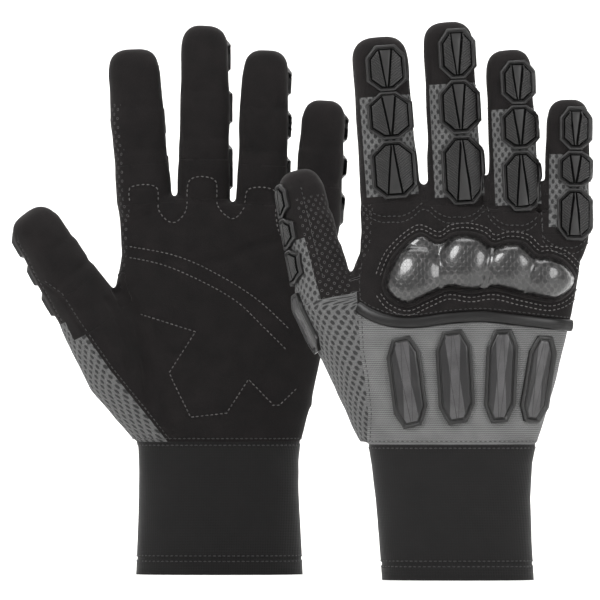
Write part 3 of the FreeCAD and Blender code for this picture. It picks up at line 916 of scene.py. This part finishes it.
def laid(glove, points, back):
    return [onHand(glove, u, z, back) for u, z in points]


def baseScallops(glove, extra=0.0):
    # the double-stitched edge of the knuckle panel under each finger
    out = []
    for name in fingerNames[:4]:
        finger = glove["fingers"][name]
        w, _ = fingerSize(finger, 0)
        root = finger["root"]
        for k in range(9):
            t = -1 + 2 * k / 8
            z = root.z - knuckleScallops["drop"] * (1 - t * t) - knuckleScallops["rise"] * abs(t) - extra
            out.append((root.x + t * w - middleX(glove, z), z))
    return out


def allSeams(glove):
    # (samples, width, depth) of every line that pulls the cloth in
    lines = [(ringLine(glove, wristSeam), 1.8, 0.7), (ringLine(glove, 8.2), 1.5, 0.6),
             (sideLine(glove, 1, 10, 160), 1.3, 0.5)]
    lines += [(laid(glove, sharpLine(edge), back), 1.4, 0.55)
              for edge, back in ((meshEdgeBack, True), (meshEdgePalm, False))]
    lines += [(handLine(glove, line, False), 1.0, 0.45) for line in palmArcs]
    lines += [(laid(glove, sharpLine(line), False), 1.0, 0.45) for line in (heelPatch, baseTabs)]
    lines += [(laid(glove, smoothFlat(baseScallops(glove)), True), 1.1, 0.5)]
    lines += [(handLine(glove, line, False), width, depth) for line, width, depth in palmFolds]
    for finger in glove["fingers"].values():
        for share in (0.34, 0.62):
            lines.append((fingerRing(finger, glove, share * finger["length"]), 3.6, 0.55))
        for side in (-1, 1):
            run = [fingerSide(finger, glove, side, s) for s in np.arange(0.0, finger["length"] - 6, 1.2)]
            lines.append((run, 1.1, 0.45))
    return lines


def smoothFlat(points):
    return [(p.x, p.y) for p in smoothLine([(u, z, 0) for u, z in points], 1.2)]


def fingerSide(finger, glove, side, s):
    # the seam down the finger's side, a little behind its middle
    w, d = fingerSize(finger, s)
    middle = finger["root"] + finger["along"] * s + finger["nail"] * d * fingerPaint["seam"]
    outward = finger["across"] * side
    found = castTo(glove, middle + outward * (w * 1.02), -outward)
    return found or (middle + outward * w, outward)


# which cloth goes where on a finger
fingerPaint = {"seam": 0.22, "meshBeside": 2.2, "meshAside": 0.45, "meshLow": 2.5, "stripLow": -0.75,
               "stripTop": 0.66, "thumbPatch": 0.74,
               "thumbSeam": 0.5, "thumbMesh": 0.4}


def paintFinger(bm, glove, finger):
    # 0 suede, 1 spacer mesh beside the armour, 2 perforated suede
    root, along, across, nail = (finger[k] for k in ("root", "along", "across", "nail"))
    length = finger["length"]
    w, d = fingerSize(finger, 0)
    look = fingerPaint
    half = w * armourSizes["share"] + look["meshBeside"]
    middle = armourAside(finger) * look["meshAside"]
    backward = Vector((0, glove["back"], 0))
    if finger["thumb"]:
        planes = [(along * length * look["thumbPatch"], along), (nail * d * look["thumbSeam"], nail),
                  (along * length * look["thumbMesh"], along), (nail * d * 0.05, nail), (along * 1.0, along)]
    else:
        top = armourStops(finger)[1] - 2.0
        planes = [(nail * d * look["seam"], nail), (along * top, along), (along * look["meshLow"], along),
                  (across * (middle - half), across), (across * (middle + half), across)]
        if finger["name"] == "index":
            planes += [(nail * d * look["stripLow"], nail), (along * length * look["stripTop"], along)]
    for offset, normal in planes:
        cutAcross(bm, list(bm.faces), root + offset, normal)
    outer = -1 if across.x > 0 else 1  # the side that the thumb is on
    for f in bm.faces:
        p = f.calc_center_median() - root
        s, n, u = p.dot(along), p.dot(nail) / d, p.dot(across)
        f.material_index = 0
        if finger["thumb"]:
            if p.dot(backward) > 0.5:
                if n < look["thumbSeam"]:
                    f.material_index = 2 if s < length * look["thumbPatch"] else 0
                elif s < length * look["thumbMesh"]:
                    f.material_index = 1
            elif n > 0.05 and s < 1.0:
                f.material_index = 1
        elif n > look["seam"] and look["meshLow"] < s < top and abs(u - middle) < half:
            f.material_index = 1
        elif finger["name"] == "index" and u * outer > 0 and s < length * look["stripTop"]:
            f.material_index = 2 if look["stripLow"] < n < look["seam"] + 0.2 else 0


def wrapAround(co, centre, across, nail, along, halfWidth, halfDepth):
    # arc length round a piece, counted from the middle of its back, and length along it
    p = co - np.array(centre)
    u, n, s = p @ np.array(across), p @ np.array(nail), p @ np.array(along)
    turns = np.linspace(-math.pi, math.pi, 361)
    x, y = halfWidth * np.sin(turns), halfDepth * np.cos(turns)
    arc = np.concatenate(([0], np.cumsum(np.hypot(np.diff(x), np.diff(y)))))
    arc -= arc[180]
    return np.stack((np.interp(np.arctan2(u / halfWidth, n / halfDepth), turns, arc), s, np.zeros(len(s))),
                    axis=1)


def wrapFromEdge(co, glove):
    # about the arc length round the hand from its thumb side edge, and the height
    rows = np.clip((co[:, 2] / 2.0).astype(int), 0, None)
    edges = np.full(rows.max() + 1, np.inf)
    np.minimum.at(edges, rows, co[:, 0])
    known = np.nonzero(np.isfinite(edges))[0]
    edge = np.interp(co[:, 2] / 2.0 - 0.5, known, edges[known])
    depth = (co[:, 1] - glove["y"]) * glove["back"]
    arc = np.hypot(np.maximum(co[:, 0] - edge, 0), depth) * np.where(depth > 0, 1, -1)
    return np.stack((arc, co[:, 2], np.zeros(len(arc))), axis=1)


def finishSkinPiece(obj, glove, finger=None):
    wall = obj.modifiers.new("clothThickness", "SOLIDIFY")
    wall.thickness = skinSizes["wall"] * mm
    wall.offset = -1.0
    applyModifiers(obj)
    co = vertexArray(obj.data) / mm
    keepPlace(obj, "restPlace", co)
    if finger:
        w, d = fingerSize(finger, 0)
        places = wrapAround(co, finger["root"], finger["across"], finger["nail"], finger["along"], w, d)
    else:
        places = wrapFromEdge(co, glove)
    keepPlace(obj, "wrapPlace", places)


# each piece's transform is baked into its mesh
def followWrist(obj):
    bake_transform(obj)


def followFinger(obj):
    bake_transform(obj)


# the sewn cloth, cut into its pieces
clothNodes = {"hand": ("palm_panel", "side_mesh_panel", "knuckle_panel", "back_panel"),
              "cuff": ("cuff_sleeve", "cuff_hem")}


def finishPiece(nodesReplaced=()):
    if nodesReplaced:
        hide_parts(*nodesReplaced)


def sewCloth(glove, cloths):
    side = glove["side"]
    skin = makeSkin(glove)
    glove["tree"] = skinTree(skin)
    lines = allSeams(glove)
    foldCloth(glove, skin)
    for samples, width, depth in lines:
        pressSeam(skin, samples, width, depth)
    parts = cutSkin(glove, skin)
    glove["tree"] = skinTree(skin)
    bpy.data.objects.remove(skin)
    hand = parts["hand"]
    paintPanel(hand, glove, weaveTop + ((75, 60), (-42.6, 60)) + tuple(reversed(meshEdgeBack[2:-1])), True, 1)
    paintPanel(hand, glove, meshEdgeBack + ((-110, 60), (-110, 152)), True, 2)
    paintPanel(hand, glove, meshEdgePalm + ((-120, 60), (-120, 147)), False, 2)
    for back in (True, False):
        paintPanel(hand, glove, punchedEdge[side] + ((-120, 144), (-120, 192)), back, 3)
    for name, bm in parts.items():
        finger = glove["fingers"].get(name.split("_")[0])
        if finger:
            paintFinger(bm, glove, finger)
            materials = [cloths["suede"], cloths["mesh"], cloths["punched"]]
            obj = newObject(f"{side}_{name}_cloth", bm, materials)
            finishSkinPiece(obj, glove, finger)
            followFinger(obj)
            finishPiece([f"{side}_{name}_sleeve"])
            continue
        materials = [cloths[k] for k in ("suede", "weave", "mesh",
                                         "punched")] if name == "hand" else [cloths["neoprene"]]
        obj = newObject(f"{side}_{name}_cloth", bm, materials)
        finishSkinPiece(obj, glove)
        followWrist(obj)
        finishPiece([f"{side}_{n}" for n in clothNodes[name]])


# moulded armour on the fingers and pads on the back of the hand
armourSizes = {"height": 3.0, "edge": 0.45, "rim": 0.5, "groove": 0.35, "paintedShadeCrease": 0.68, "facet": 0.5,
               "smoothHalf": 1.2, "share": 0.72, "topShare": 0.66, "aside": 3.6, "wedge": 0.34}
padSizes = {"height": 3.2, "edge": 0.5, "rim": 0.8, "groove": 0.55, "paintedShadeCrease": 0.12, "facet": 0.04,
            "waist": 0.26, "flare": 0.5, "ends": (0.52, 0.52), "shoulders": (0.19, 0.19)}
backPads = ((-25.8, 98, 8.2, 22.7, -13), (-2.3, 100.5, 8.8, 23.2, -9), (20.2, 101, 7.6, 23, -3),
            (38.5, 99.5, 6.6, 21.3, 4))
thumbPad = {"along": -17.0, "halfWidth": 8.0, "halfLength": 15.0}
thumbStops = (0.9, 0.62, 0.35, 0.05)
# heights of the plates' ends on the right glove, from the top down
armourHeights = {"index": (264, 241.5, 217.5, 188.5), "middle": (272, 247.5, 220, 185.5),
                 "ring": (256.5, 235, 212.5, 182), "little": (233.5, 212.5, 194, 168.5)}


def armourAside(finger):
    # the outer three fingers are turned a little, so their armour sits nearer the little finger's side
    if finger["thumb"]:
        return 0.0
    share = 0.6 if finger["name"] == "index" else 1.0
    return math.copysign(armourSizes["aside"] * share, finger["across"].x)


def armourStops(finger):
    # ends of the plates along the finger, from the tip down
    if finger["thumb"]:
        return [share * finger["length"] for share in thumbStops]
    other = jointOf[f"right_{finger['name']}_base_bend"]["pos_m"][2] / mm - baseUp
    reach = max(v.co.z for v in nodes[f"right_{finger['name']}_upper_sleeve"].data.vertices) / mm - other
    return [(z - other) / reach * finger["length"] for z in armourHeights[finger["name"]]]


# ends and shoulders of each kind of plate, as shares at its low and high end
armourForms = {"top": ((0.36, 0.48), (0.24, 0.24)), "middle": ((0.38, 0.36), (0.22, 0.24)),
               "low": ((0.46, 0.38), (0.2, 0.22))}


def armourPlate(bm, glove, finger, low, high, kind):
    w, _ = fingerSize(finger, (low + high) / 2)
    half = w * (armourSizes["topShare"] if kind == "top" else armourSizes["share"])
    outline = plateOutline(half, low, high, *armourForms[kind])
    point, wide = (high + 1.5, low) if kind == "low" else (low - 1.5, high)
    cuts = [((0, point), (sign * half * armourSizes["wedge"], wide)) for sign in (-1, 1)]
    aside = armourAside(finger)
    makePlate(bm, outline, cuts, armourSizes, lambda u, s: onFinger(finger, glove, u + aside, s))


def mouldArmour(glove, rubbers):
    side = glove["side"]
    for name, finger in glove["fingers"].items():
        stops = armourStops(finger)
        lower, upper = bmesh.new(), bmesh.new()
        armourPlate(lower, glove, finger, stops[3], stops[2] - 0.4, "low")
        armourPlate(upper, glove, finger, stops[2] + 0.4, stops[1] - 0.2, "middle")
        armourPlate(upper, glove, finger, stops[1] + 0.2, stops[0], "top")
        for part, bm in (("lower", lower), ("upper", upper)):
            obj = newObject(f"{side}_{name}_{part}_armour_moulding", bm, rubbers, 32)
            keepRest(obj)
            followFinger(obj)
            finishPiece([f"{side}_{name}_{part}_armour"])


def padCuts(half, low, high):
    # an hourglass: four slanting lines that meet on the pad's middle height
    middle = (low + high) / 2
    waist, flare = half * padSizes["waist"], half * padSizes["flare"]
    return [((sign * waist, middle), (sign * flare, end)) for end in (low, high) for sign in (-1, 1)]


def askewOnBack(glove, u0, z0, turn):
    # the back of the hand as seen from a point on it, turned a little
    c, s = math.cos(turn), math.sin(turn)
    return lambda u, v: onHand(glove, u0 + u * c + v * s, z0 - u * s + v * c)


def mouldPad(bm, half, low, high, lay):
    outline = plateOutline(half, low, high, padSizes["ends"], padSizes["shoulders"])
    makePlate(bm, outline, padCuts(half, low, high), padSizes, lay)


def mouldPads(glove, rubbers):
    bm = bmesh.new()
    for u0, z0, half, length, lean in backPads:
        mouldPad(bm, half, -length, length, askewOnBack(glove, u0, z0, math.radians(lean)))
    thumb, half, length = glove["fingers"]["thumb"], thumbPad["halfWidth"], thumbPad["halfLength"]
    mouldPad(bm, half, thumbPad["along"] - length, thumbPad["along"] + length,
             lambda u, s: onFinger(thumb, glove, u, s))
    obj = newObject(f"{glove['side']}_pad_mouldings", bm, rubbers, 32)
    keepRest(obj)
    followWrist(obj)
    finishPiece([f"{glove['side']}_moulded_pads"])


# the hard knuckle guard and the foam under it
guardSizes = {"cell": 1.3, "wall": 1.6, "foam": 2.0, "edge": 2.4, "round": 4.0, "dome": 5.6, "foamGrow": 1.8,
              "edgeLow": 0.55, "foamEdge": 0.4, "foamRound": 2.4, "foamUnder": 0.8}
guardLobes = ((-27.5, 150, 14.5, 15), (-3, 156.5, 13, 16), (20.5, 154.5, 12.5, 14.5), (40, 149.2, 12.5, 12))
guardOutline = ((-41, 149), (-37, 160.5), (-27, 170), (-17.3, 166.5), (-10, 170.2), (-3, 170.8), (4, 169),
                (9.9, 165),
                (17.8, 166.6), (25, 165.5), (31.9, 159.8), (38.4, 159.6), (46, 156.5), (51.9, 149),
                (49, 142.5),
                (41.9, 139), (28, 141.3), (13.4, 144.5), (1.5, 143.2), (-10, 144.5), (-20, 140.5),
                (-28.9, 136.5),
                (-36, 139), (-40.2, 143.5))


def grownOutline(points, grow):
    return [(p[0], p[1]) for p in offsetLine(list(points) + [points[0]], grow)][:-1]


def shellOnHand(name, glove, outline, height, wall, materials):
    # a sheet of small squares kept inside the outline, its edge drawn to it, lifted off the cloth by height(u, z)
    flat = np.array([(p.x, p.y) for p in smoothLine([(u, z, 0) for u, z in outline], 0.6, True)])
    low, high = flat.min(axis=0), flat.max(axis=0)
    bm = bmesh.new()
    across, upward = (int((high[k] - low[k]) / guardSizes["cell"]) + 2 for k in (0, 1))
    bmesh.ops.create_grid(bm, x_segments=across, y_segments=upward, size=1.0)
    middle, spread = (low + high) / 2, (high - low) / 2 + 0.5
    for v in bm.verts:
        v.co = Vector((middle[0] + v.co.x * spread[0], middle[1] + v.co.y * spread[1], 0))
    keep = insidePolygon(np.array([f.calc_center_median().x for f in bm.faces]),
                         np.array([f.calc_center_median().y for f in bm.faces]), [tuple(p) for p in flat])
    bmesh.ops.delete(bm, geom=[f for f, k in zip(bm.faces, keep) if not k], context="FACES")
    edge = [v for v in bm.verts if v.is_boundary]
    for v in edge:
        d = np.hypot(flat[:, 0] - v.co.x, flat[:, 1] - v.co.y)
        v.co.x, v.co.y = flat[int(d.argmin())]
    inner = [v for v in bm.verts if not v.is_boundary]
    for _ in range(3):
        bmesh.ops.smooth_vert(bm, verts=inner, factor=0.5, use_axis_x=True, use_axis_y=True)
    for v in bm.verts:
        d = float(np.hypot(flat[:, 0] - v.co.x, flat[:, 1] - v.co.y).min()) if not v.is_boundary else 0.0
        u, z = v.co.x, v.co.y
        spot, _ = onHand(glove, u, z)
        v.co = spot + Vector((0, glove["back"], 0)) * height(u, z, d)
    bmesh.ops.recalc_face_normals(bm, faces=bm.faces)
    if sum(f.normal.y for f in bm.faces) * glove["back"] < 0:
        bmesh.ops.reverse_faces(bm, faces=bm.faces)
    obj = newObject(name, bm, materials)
    shell = obj.modifiers.new("thickness", "SOLIDIFY")
    shell.thickness = wall * mm
    shell.offset = -1.0
    applyModifiers(obj)
    keepRest(obj)
    return obj


def guardHeight(u, z, d):
    rise = min(1.0, d / guardSizes["round"])
    bumps = [max(0.0, 1 - ((u - a) / w) ** 2 - ((z - b) / h) ** 2) for a, b, w, h in guardLobes]
    dome = sum(k ** 3 for k in bumps) ** (1 / 3)
    lift = math.sqrt(max(0.0, 1 - (1 - rise) ** 2))
    rim = guardSizes["edge"] * (guardSizes["edgeLow"] + (1 - guardSizes["edgeLow"]) * lift)
    return guardSizes["foam"] + rim + guardSizes["dome"] * math.sqrt(min(dome, 1.0)) * lift


def foamHeight(u, z, d):
    return guardSizes["foam"] * math.sqrt(min(1.0, (d + guardSizes["foamEdge"]) / guardSizes["foamRound"]))


def fitGuard(glove, shellMaterial, foamMaterial):
    side = glove["side"]
    guard = shellOnHand(f"{side}_knuckle_guard_shell", glove, guardOutline, guardHeight, guardSizes["wall"],
                        [shellMaterial])
    finishPiece([f"{side}_knuckle_guard"])
    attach(guard, f"{side}_hand")
    foamOutline = grownOutline(guardOutline, guardSizes["foamGrow"])
    foam = shellOnHand(f"{side}_guard_foam_pad", glove, foamOutline, foamHeight,
                       guardSizes["foam"] + guardSizes["foamUnder"], [foamMaterial])
    finishPiece([f"{side}_guard_foam"])
    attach(foam, f"{side}_hand")


# the rubber piping across the back
pipingSizes = {"halfWidth": 3.0, "proud": 2.0, "above": 2.5}


def sewPiping(glove, rubber):
    samples = handLine(glove, [(u, z + pipingSizes["above"]) for u, z in pipingLine], True, 2.0)
    bm = bmesh.new()
    stations = []
    for k, (spot, normal) in enumerate(samples):
        a, b = samples[max(k - 1, 0)][0], samples[min(k + 1, len(samples) - 1)][0]
        along = (b - a).normalized()
        across = normal.cross(along).normalized()
        stations.append(placeMatrix(spot, across * pipingSizes["halfWidth"],
                                    along.cross(across) * pipingSizes["proud"], along))
    ringTube(bm, stations, 16, 2.6)
    bmesh.ops.recalc_face_normals(bm, faces=bm.faces)
    obj = newObject(f"{glove['side']}_rubber_piping", bm, [rubber], 50)
    keepRest(obj)
    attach(obj, f"{glove['side']}_hand")
    finishPiece([f"{glove['side']}_piping"])


# every row of stitches, sorted by the piece it is sewn into
def regionOf(glove, spot):
    for name, finger in glove["fingers"].items():
        p = spot - finger["root"]
        s = p.dot(finger["along"])
        start, middle = cutsOf(finger)
        if s > start and nearFinger(finger, p, s):
            return f"{name}_{'upper' if s > middle else 'lower'}"
    return "cuff" if spot.z < wristSeam else "hand"


# how far each row lies from its line, and the heights of the hem's rows
rowPlaces = {"scallops": (-1.5, 1.5), "guard": (3.4, 5.6), "mesh": 1.6, "piping": 6.3, "wrist": 1.7,
             "hem": (6.8, 9.6)}


def stitchRows(glove):
    # (samples, material index): 0 pale thread, 1 dark thread
    rows = []
    for line in [smoothFlat(line) for line in palmArcs] + [sharpLine(heelPatch), smoothFlat(baseTabs)]:
        rows.append((laid(glove, line, False), 0))
    for extra in rowPlaces["scallops"]:
        rows.append((laid(glove, smoothFlat(baseScallops(glove, extra)), True), 1))
    for grow in rowPlaces["guard"]:
        rows.append((laid(glove, smoothFlat(grownOutline(guardOutline, grow)), True), 0))
    for line, back in ((meshEdgeBack, True), (meshEdgePalm, False)):
        rows.append((laid(glove, offsetLine(sharpLine(line), rowPlaces["mesh"]), back), 1))
    rows.append((laid(glove, smoothFlat([(u, z + rowPlaces["piping"]) for u, z in pipingLine]), True), 1))
    for z in (wristSeam + rowPlaces["wrist"], wristSeam - rowPlaces["wrist"], *rowPlaces["hem"]):
        rows.append((ringLine(glove, z), 1))
    for finger in glove["fingers"].values():
        for side in (-1, 1):
            places = np.arange(2.0, finger["length"] * 0.85, 1.2)
            rows.append(([fingerSide(finger, glove, side, s) for s in places], 1))
    return rows


def sewStitches(glove, threads):
    side = glove["side"]
    sewn = {}
    for samples, index in stitchRows(glove):
        run, region = [], None
        for spot, normal in samples + [(None, None)]:
            here = regionOf(glove, spot) if spot else None
            # a row stops where it leaves the skin or leaps to another part of it
            far = run and spot and (spot - run[-1][0]).length > 3
            if spot and glove["tree"].find_nearest(spot)[3] > 1.0:
                here = None
            if (here != region or far) and run:
                if len(run) > 2 and region:
                    bm = sewn.setdefault((region, index), bmesh.new())
                    stitchRow(bm, run)
                run = []
            region = here
            run.append((spot, normal))
    for (region, index), bm in sewn.items():
        obj = newObject(f"{side}_{region}_{('palm', 'seam')[index]}_stitches", bm, [threads[index]])
        keepRest(obj)
        finger = glove["fingers"].get(region.split("_")[0])
        if finger:
            followFinger(obj)
        else:
            followWrist(obj)
        finishPiece()


print("mixing the materials")
cloths = {"suede": suede("blackMicrofibreSuede"), "punched": suede("blackPerforatedSuede", holes=punchLook),
          "weave": knit("greyStretchRibWeave", knitLooks["ribWeave"]), "mesh": spacerMesh("greySpacerMesh"),
          "neoprene": knit("blackNeopreneJersey", knitLooks["neoprene"])}
rubbers = {name: mouldedRubber(f"{name}Rubber", look) for name, look in rubberLooks.items()}
guardShell = coatedWeave()
foamCloth = suede("blackFoamBackedSuede")
threads = [thread(name, look) for name, look in threadLooks.items()]

for side in ("left", "right"):
    glove = readGlove(side)
    print(side, "glove: cloth")
    sewCloth(glove, cloths)
    print(side, "glove: armour and pads")
    # armour: rim, ribbed side facets, middle facets, painted shade in the creases
    mouldArmour(glove, [rubbers[k] for k in ("armour", "ribbedArmour", "armour", "paintedShadeCrease")])
    # pads: rim, painted shade on the side facets, painted light on the middle, painted shade in the creases
    mouldPads(glove, [rubbers[k] for k in ("padRim", "padPaintedShadeSide", "padPaintedLightTop", "padPaintedShadeSide")])
    print(side, "glove: knuckle guard and piping")
    fitGuard(glove, guardShell, foamCloth)
    sewPiping(glove, rubbers["piping"])
    print(side, "glove: stitches")
    sewStitches(glove, threads)

# studio: a pale sweep, soft lights, a long lens at the height of the pair's middle
print("setting the camera and lights")
studio = {"lens": 800.0, "sensor": 36.0, "width": 0.3, "aimX": 0.00127, "aimZ": 0.1385, "clip": 100.0,
          "world": 0.68,
          "paperFront": 7.5, "paperHalf": 6.0, "paperHigh": 5.0, "sweepY": 0.55, "sweepRound": 0.35,
          "turns": 12}
# place, size and power of each lamp
lamps = {"key_light": ((-1.3, -2.0, 1.7), 1.2, 54), "fill_light": ((1.7, -1.9, 0.9), 1.2, 29),
         "top_light": ((0.0, 0.1, 2.1), 1.6, 26)}


def paleSweep():
    material, tree, shader = newMaterial("paleStudioPaper", {"Roughness": 0.95, "Specular IOR Level": 0.1})
    place = addNode(tree, "ShaderNodeTexCoord").outputs["Object"]
    tone = addNode(tree, "ShaderNodeTexNoise", {}, {"Vector": place, "Scale": 3.0, "Detail": 2.0})
    color = addNode(tree, "ShaderNodeMix", {"data_type": "RGBA"},
                    {0: tone, 6: hexColor("F6F6F5"), 7: hexColor("FBFBFA")})
    tree.links.new(color.outputs[2], shader.inputs["Base Color"])
    # the paper is only seen from the gloves' side, so a view from behind isn't blocked
    behind = addNode(tree, "ShaderNodeNewGeometry").outputs["Backfacing"]
    clear = addNode(tree, "ShaderNodeBsdfTransparent")
    oneSided = addNode(tree, "ShaderNodeMixShader", {}, {0: behind, 1: shader, 2: clear})
    tree.links.new(oneSided.outputs[0], tree.nodes["Material Output"].inputs["Surface"])
    bm = bmesh.new()
    half, front, turns, bend = (studio[k] for k in ("paperHalf", "paperFront", "turns", "sweepRound"))
    edges = [bm.edges.new([bm.verts.new((x, -front, 0)) for x in (-half, half)])]
    runs = [(0, front + studio["sweepY"], 0)]
    for k in range(turns):
        a, b = math.pi / 2 * k / turns, math.pi / 2 * (k + 1) / turns
        runs.append((0, bend * (math.sin(b) - math.sin(a)), bend * (math.cos(a) - math.cos(b))))
    runs.append((0, 0, studio["paperHigh"]))
    for run in runs:
        out = bmesh.ops.extrude_edge_only(bm, edges=edges)["geom"]
        bmesh.ops.translate(bm, vec=run, verts=[g for g in out if isinstance(g, bmesh.types.BMVert)])
        edges = [g for g in out if isinstance(g, bmesh.types.BMEdge) and all(v in out for v in g.verts)]
    bm.faces.ensure_lookup_table()
    bm.normal_update()
    if bm.faces[0].normal.z < 0:
        bmesh.ops.reverse_faces(bm, faces=bm.faces)
    mesh = bpy.data.meshes.new("studio_sweep")
    bm.to_mesh(mesh)
    bm.free()
    mesh.materials.append(material)
    mesh.polygons.foreach_set("use_smooth", [True] * len(mesh.polygons))
    sweep = bpy.data.objects.new("studio_sweep", mesh)
    bpy.context.scene.collection.objects.link(sweep)


def areaLight(name, place, size, energy):
    light = bpy.data.lights.new(name, "AREA")
    light.shape, light.size, light.energy = "DISK", size, energy
    obj = bpy.data.objects.new(name, light)
    obj.location = place
    obj.rotation_euler = (Vector((0, 0, studio["aimZ"])) - Vector(place)).to_track_quat("-Z", "Y").to_euler()
    bpy.context.scene.collection.objects.link(obj)


paleSweep()
for name, (place, size, energy) in lamps.items():
    areaLight(name, place, size, energy)
bpy.context.scene.view_settings.view_transform = "Standard"
world = bpy.data.worlds.new("studioWorld")
world.use_nodes = True
world.node_tree.nodes["Background"].inputs["Color"].default_value = hexColor("FFFFFF")
world.node_tree.nodes["Background"].inputs["Strength"].default_value = studio["world"]
bpy.context.scene.world = world
camera = bpy.data.cameras.new("camera")
camera.lens, camera.sensor_width = studio["lens"], studio["sensor"]
camera.clip_end = studio["clip"]
cameraObject = bpy.data.objects.new("camera", camera)
distance = studio["width"] * studio["lens"] / studio["sensor"]
cameraObject.location = (studio["aimX"], -distance, studio["aimZ"])
cameraObject.rotation_euler = (math.pi / 2, 0, 0)
bpy.context.scene.collection.objects.link(cameraObject)
bpy.context.scene.camera = cameraObject

bpy.context.view_layer.update()
